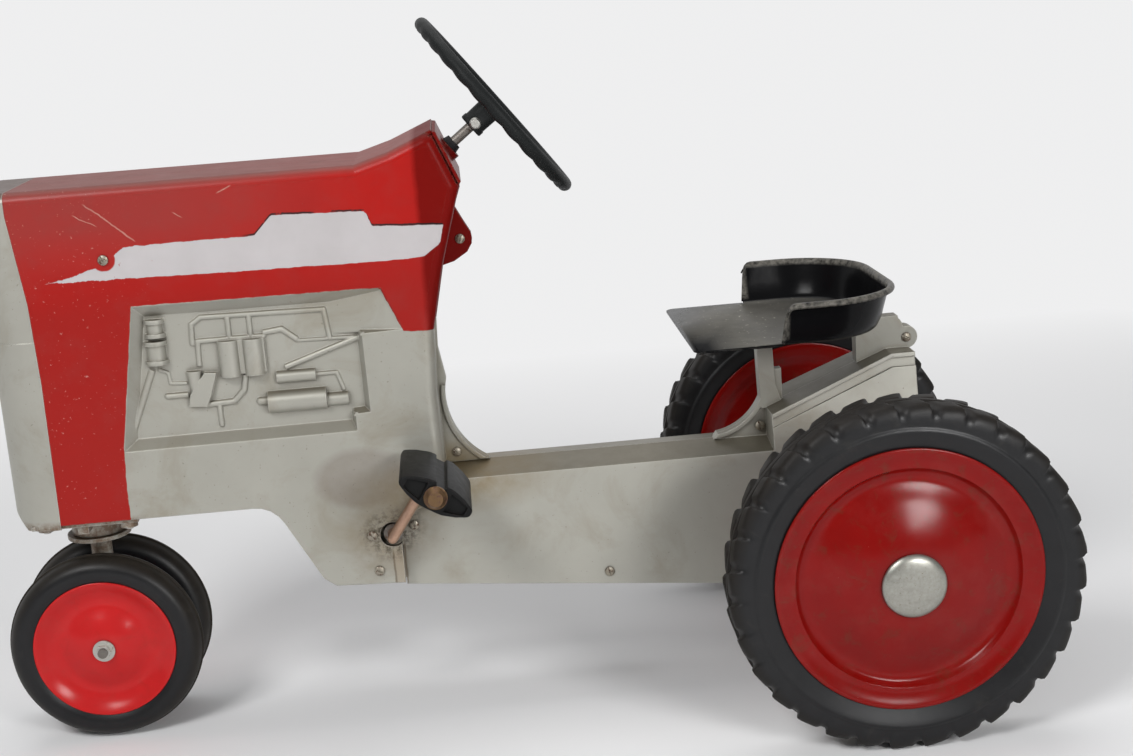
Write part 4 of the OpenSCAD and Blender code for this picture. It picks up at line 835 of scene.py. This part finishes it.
def pedal(side):
    """Rubber block of lens section: a groove along its upper face, and pockets in its ends."""
    at = Vector(CRANK_AT) - side * ARM
    rows = [(-35.0, 0.5), (-34.8, 2.4), (-33.4, 4.2), (-31, 5.6), (-30.6, 5.8), (-24, 9.0), (-16, 11.6),
            (-12.6, 12.5), (-12.2, 12.6), (-7.0, 13.0), (-5.4, 12.6), (-4.6, 10.4), (-3.8, 9.6)]
    rows += [(-x, h) for x, h in reversed(rows)]
    low = [(x, h if abs(x) > 7 else 13.0) for x, h in rows]
    section = rows + [(x, -h) for x, h in reversed(low)]
    y0, y1 = sorted(side * y for y in PEDAL_Y)
    c, s = math.cos(PEDAL_DROOP), math.sin(PEDAL_DROOP)

    def at_row(y, x, z):
        return mm(at.x + x * c + z * s, y, at.y - x * s + z * c)

    stations = [(y0, 0.95), (y0 + 0.6, 0.985), (y0 + 1.8, 1.0), (y1 - 1.8, 1.0), (y1 - 0.6, 0.985),
                (y1, 0.95)]
    parts = [([at_row(y, x * k, z * k) for y, k in stations for x, z in section],
              grid(len(stations), len(section), around=True))]
    levels = (-1, -0.74, -0.7, 0.7, 0.74, 1)
    for y, inward in ((y0, 1), (y1, -1)):
        verts = []
        for (x, h), (_, g) in zip(rows, low):
            for t in levels:
                z = h * t if t > 0 else g * t
                pocket = 12.4 < abs(x) < 30.8 and abs(t) < 0.72
                verts.append(at_row(y + inward * (4.0 if pocket else 0.0), x * 0.95, z * 0.95))
        parts.append((verts, grid(len(rows), len(levels))))
    return joined(parts)


for side, hand in ((-1, "left"), (1, "right")):
    v, f = pedal(side)
    piece("rubber_pedal_" + hand, v, f, MATERIALS["pedal_rubber"], "pedal_" + hand,
          ["pedal_" + hand], 40)


# Slotted screws
def slotted(at, y, side, length, turn, r=4.6, t=2.4):
    """Round head with a slot on the left (-1) or right (1) face at y, and its shank inwards."""
    us = (-1, -0.97, -0.88, -0.7, -0.45, -0.135, -0.125, 0.125, 0.135, 0.45, 0.7, 0.88, 0.97, 1)
    vs = (-1, -1, -0.96, -0.7, -0.35, 0, 0.35, 0.7, 0.96, 1, 1)
    c, s = math.cos(turn), math.sin(turn)
    verts = []
    for u in us:
        ext = math.sqrt(max(1 - u * u, 0.0004))
        for k, v in enumerate(vs):
            v *= ext
            h = t * (1 - 0.5 * (u * u + v * v) ** 1.3)
            h = min(h, 0.45 * t) if abs(u) < 0.13 else h
            h = 0.0 if k in (0, len(vs) - 1) else h
            verts.append(mm(at[0] + (u * c - v * s) * r, y + side * h, at[1] + (u * s + v * c) * r))
    shank = [mm(at[0] + 3 * math.cos(a), y - side * d, at[1] + 3 * math.sin(a))
             for d in (0, length) for a in [math.pi * k / 6 for k in range(12)]]
    return joined([(verts, grid(len(us), len(vs))),
                   (shank, grid(2, 12, around=True) + [tuple(range(12)), tuple(range(12, 24))])])


def hex_nut(at, y, side):
    """Nut on the other end of a through screw, its face away from the middle."""
    rings = [(0, 4.9), (0.4, 5.45), (3.6, 5.45), (4.0, 4.9)]
    verts = []
    for h, r in rings:
        for k in range(6):
            a = math.pi * k / 3
            verts.append(mm(at[0] + r * math.cos(a), y - side * h, at[1] + r * math.sin(a)))
    return verts, grid(4, 6, around=True) + [tuple(range(6)), tuple(range(18, 24))]


# Place, height of the face, length and turn of the slot
SIDE_SCREWS = [(STRIPE_SCREW, HALF_WIDTH, 60, 0.5),
               ((CRANK_AT[0] - 19.5, CRANK_AT[1] + 0.5), HALF_WIDTH, 34.5, 0.9),
               ((CRANK_AT[0] + 19.5, CRANK_AT[1]), 48.7, 12, -0.3),
               ((270.5, 154), HALF_WIDTH, 24.4, 1.2), ((489, 127), 57.85, 40, 0.4)]
# Place, half the thickness of the flange and turn of the slot
FLANGE_SCREWS = [((373, 453), 5, -0.4), ((352, 245), 5, 0.8), ((650, 245), 8, 0.2), ((798, 321), 8, 1.1)]

v, f = joined([slotted(at, side * y, side, length, turn + 0.7 * (side > 0))
               for at, y, length, turn in SIDE_SCREWS for side in (-1, 1)])
piece("slotted_casting_screws", v, f, SCREW_STEEL, "tractor", ["casting_screws"])
v, f = joined([part for at, y, turn in FLANGE_SCREWS
               for part in (slotted(at, -y, -1, 2 * y + 5, turn), hex_nut(at, y, -1))])
piece("slotted_flange_screws", v, f, SCREW_STEEL, "tractor", ["flange_screws"])


# Room, light and camera
def stage_material():
    """Pale floor that takes the shadow about the part, and shows as plain pale farther out."""
    s = Shade("stage_floor")
    s.set(Base_Color=(0.84, 0.84, 0.845), Roughness=0.7, Specular_IOR_Level=0.2)
    path = s.t.nodes.new("ShaderNodeLightPath")
    seen = either(s, path.outputs["Is Camera Ray"], path.outputs["Is Glossy Ray"])
    seen = either(s, seen, path.outputs["Is Transmission Ray"])
    glow = s.node("ShaderNodeEmission", (0.86, 0.86, 0.865), 1.0)
    x, y = s.xyz()[0:2]
    off = s.math("SQRT", s.math("ADD", s.math("MULTIPLY", x, x), s.math("MULTIPLY", y, y)))
    fac = both(s, seen, either(s, s.step(y, 0.35, 1.5), s.step(off, 0.85, 1.9)))
    mixer = s.t.nodes.new("ShaderNodeMixShader")
    s.put(mixer.inputs[0], fac)
    s.t.links.new(s.p.outputs[0], mixer.inputs[1])
    s.t.links.new(glow, mixer.inputs[2])
    s.t.links.new(mixer.outputs[0], s.out.inputs[0])
    return s.m


FLOOR_REACH, SWEEP_START, SWEEP_R, WALL_HIGH = 45.0, 6.0, 1.5, 9.0


def stage():
    """Pale floor that sweeps up into a backdrop far behind the part."""
    mesh = bpy.data.meshes.new("studio_sweep")
    bm = bmesh.new()
    profile = [(-FLOOR_REACH, 0.0), (SWEEP_START, 0.0)]
    for i in range(1, 13):
        a = math.radians(90 * i / 12)
        profile.append((SWEEP_START + SWEEP_R * math.sin(a), SWEEP_R * (1 - math.cos(a))))
    profile.append((SWEEP_START + SWEEP_R, WALL_HIGH))
    rows = [[bm.verts.new((x, y, z)) for y, z in profile] for x in (-FLOOR_REACH, FLOOR_REACH)]
    for i in range(len(profile) - 1):
        bm.faces.new((rows[0][i], rows[1][i], rows[1][i + 1], rows[0][i + 1]))
    for f in bm.faces:
        f.smooth = True
    bm.to_mesh(mesh)
    bm.free()
    obj = bpy.data.objects.new("studio_sweep", mesh)
    bpy.context.scene.collection.objects.link(obj)
    dress(obj, stage_material())


def area(name, where, at, size, power, colour=(1, 1, 1)):
    light = bpy.data.lights.new(name, "AREA")
    light.shape = "RECTANGLE"
    light.size, light.size_y = size
    light.energy = power
    light.color = colour
    obj = bpy.data.objects.new(name, light)
    obj.location = where
    obj.rotation_mode = "QUATERNION"
    obj.rotation_quaternion = (Vector(at) - Vector(where)).to_track_quat("-Z", "Y")
    bpy.context.scene.collection.objects.link(obj)


def world():
    w = bpy.data.worlds.new("studio")
    bpy.context.scene.world = w
    w.use_nodes = True
    t = w.node_tree
    t.nodes.clear()
    out = t.nodes.new("ShaderNodeOutputWorld")
    lit = t.nodes.new("ShaderNodeBackground")
    lit.inputs[0].default_value = (0.97, 0.98, 1.0, 1)
    lit.inputs[1].default_value = 0.23
    t.links.new(lit.outputs[0], out.inputs[0])


def camera():
    """The photo's camera, solved from the wheel rims and the straight edges."""
    data = bpy.data.cameras.new("photo_camera")
    data.sensor_fit = "HORIZONTAL"
    data.sensor_width = 36.0
    data.lens = 1728.1 / 1133 * 36.0
    data.clip_start, data.clip_end = 0.05, 50
    cam = bpy.data.objects.new("photo_camera", data)
    bpy.context.scene.collection.objects.link(cam)
    base = Matrix(((1, 0, 0), (0, 0, -1), (0, 1, 0)))
    turn = Matrix.Rotation(-0.0563180, 3, "Z") @ Matrix.Rotation(-0.2307298, 3, "X")
    turn = turn @ base @ Matrix.Rotation(-0.0745604, 3, "Z")
    cam.matrix_world = Matrix.Translation(mm(372.291, -1632.280, 691.713)) @ turn.to_4x4()
    bpy.context.scene.camera = cam


stage()
world()
area("key", (-1.3, -1.9, 2.2), (0, 0, 0.3), (1.0, 0.8), 46)
area("fill", (1.2, -2.2, 1.1), (0.1, 0, 0.25), (0.7, 0.6), 30)
area("top", (0.0, 0.5, 2.6), (0, 0, 0.2), (2.4, 1.4), 25)
camera()
bpy.context.scene.view_settings.view_transform = "Standard"
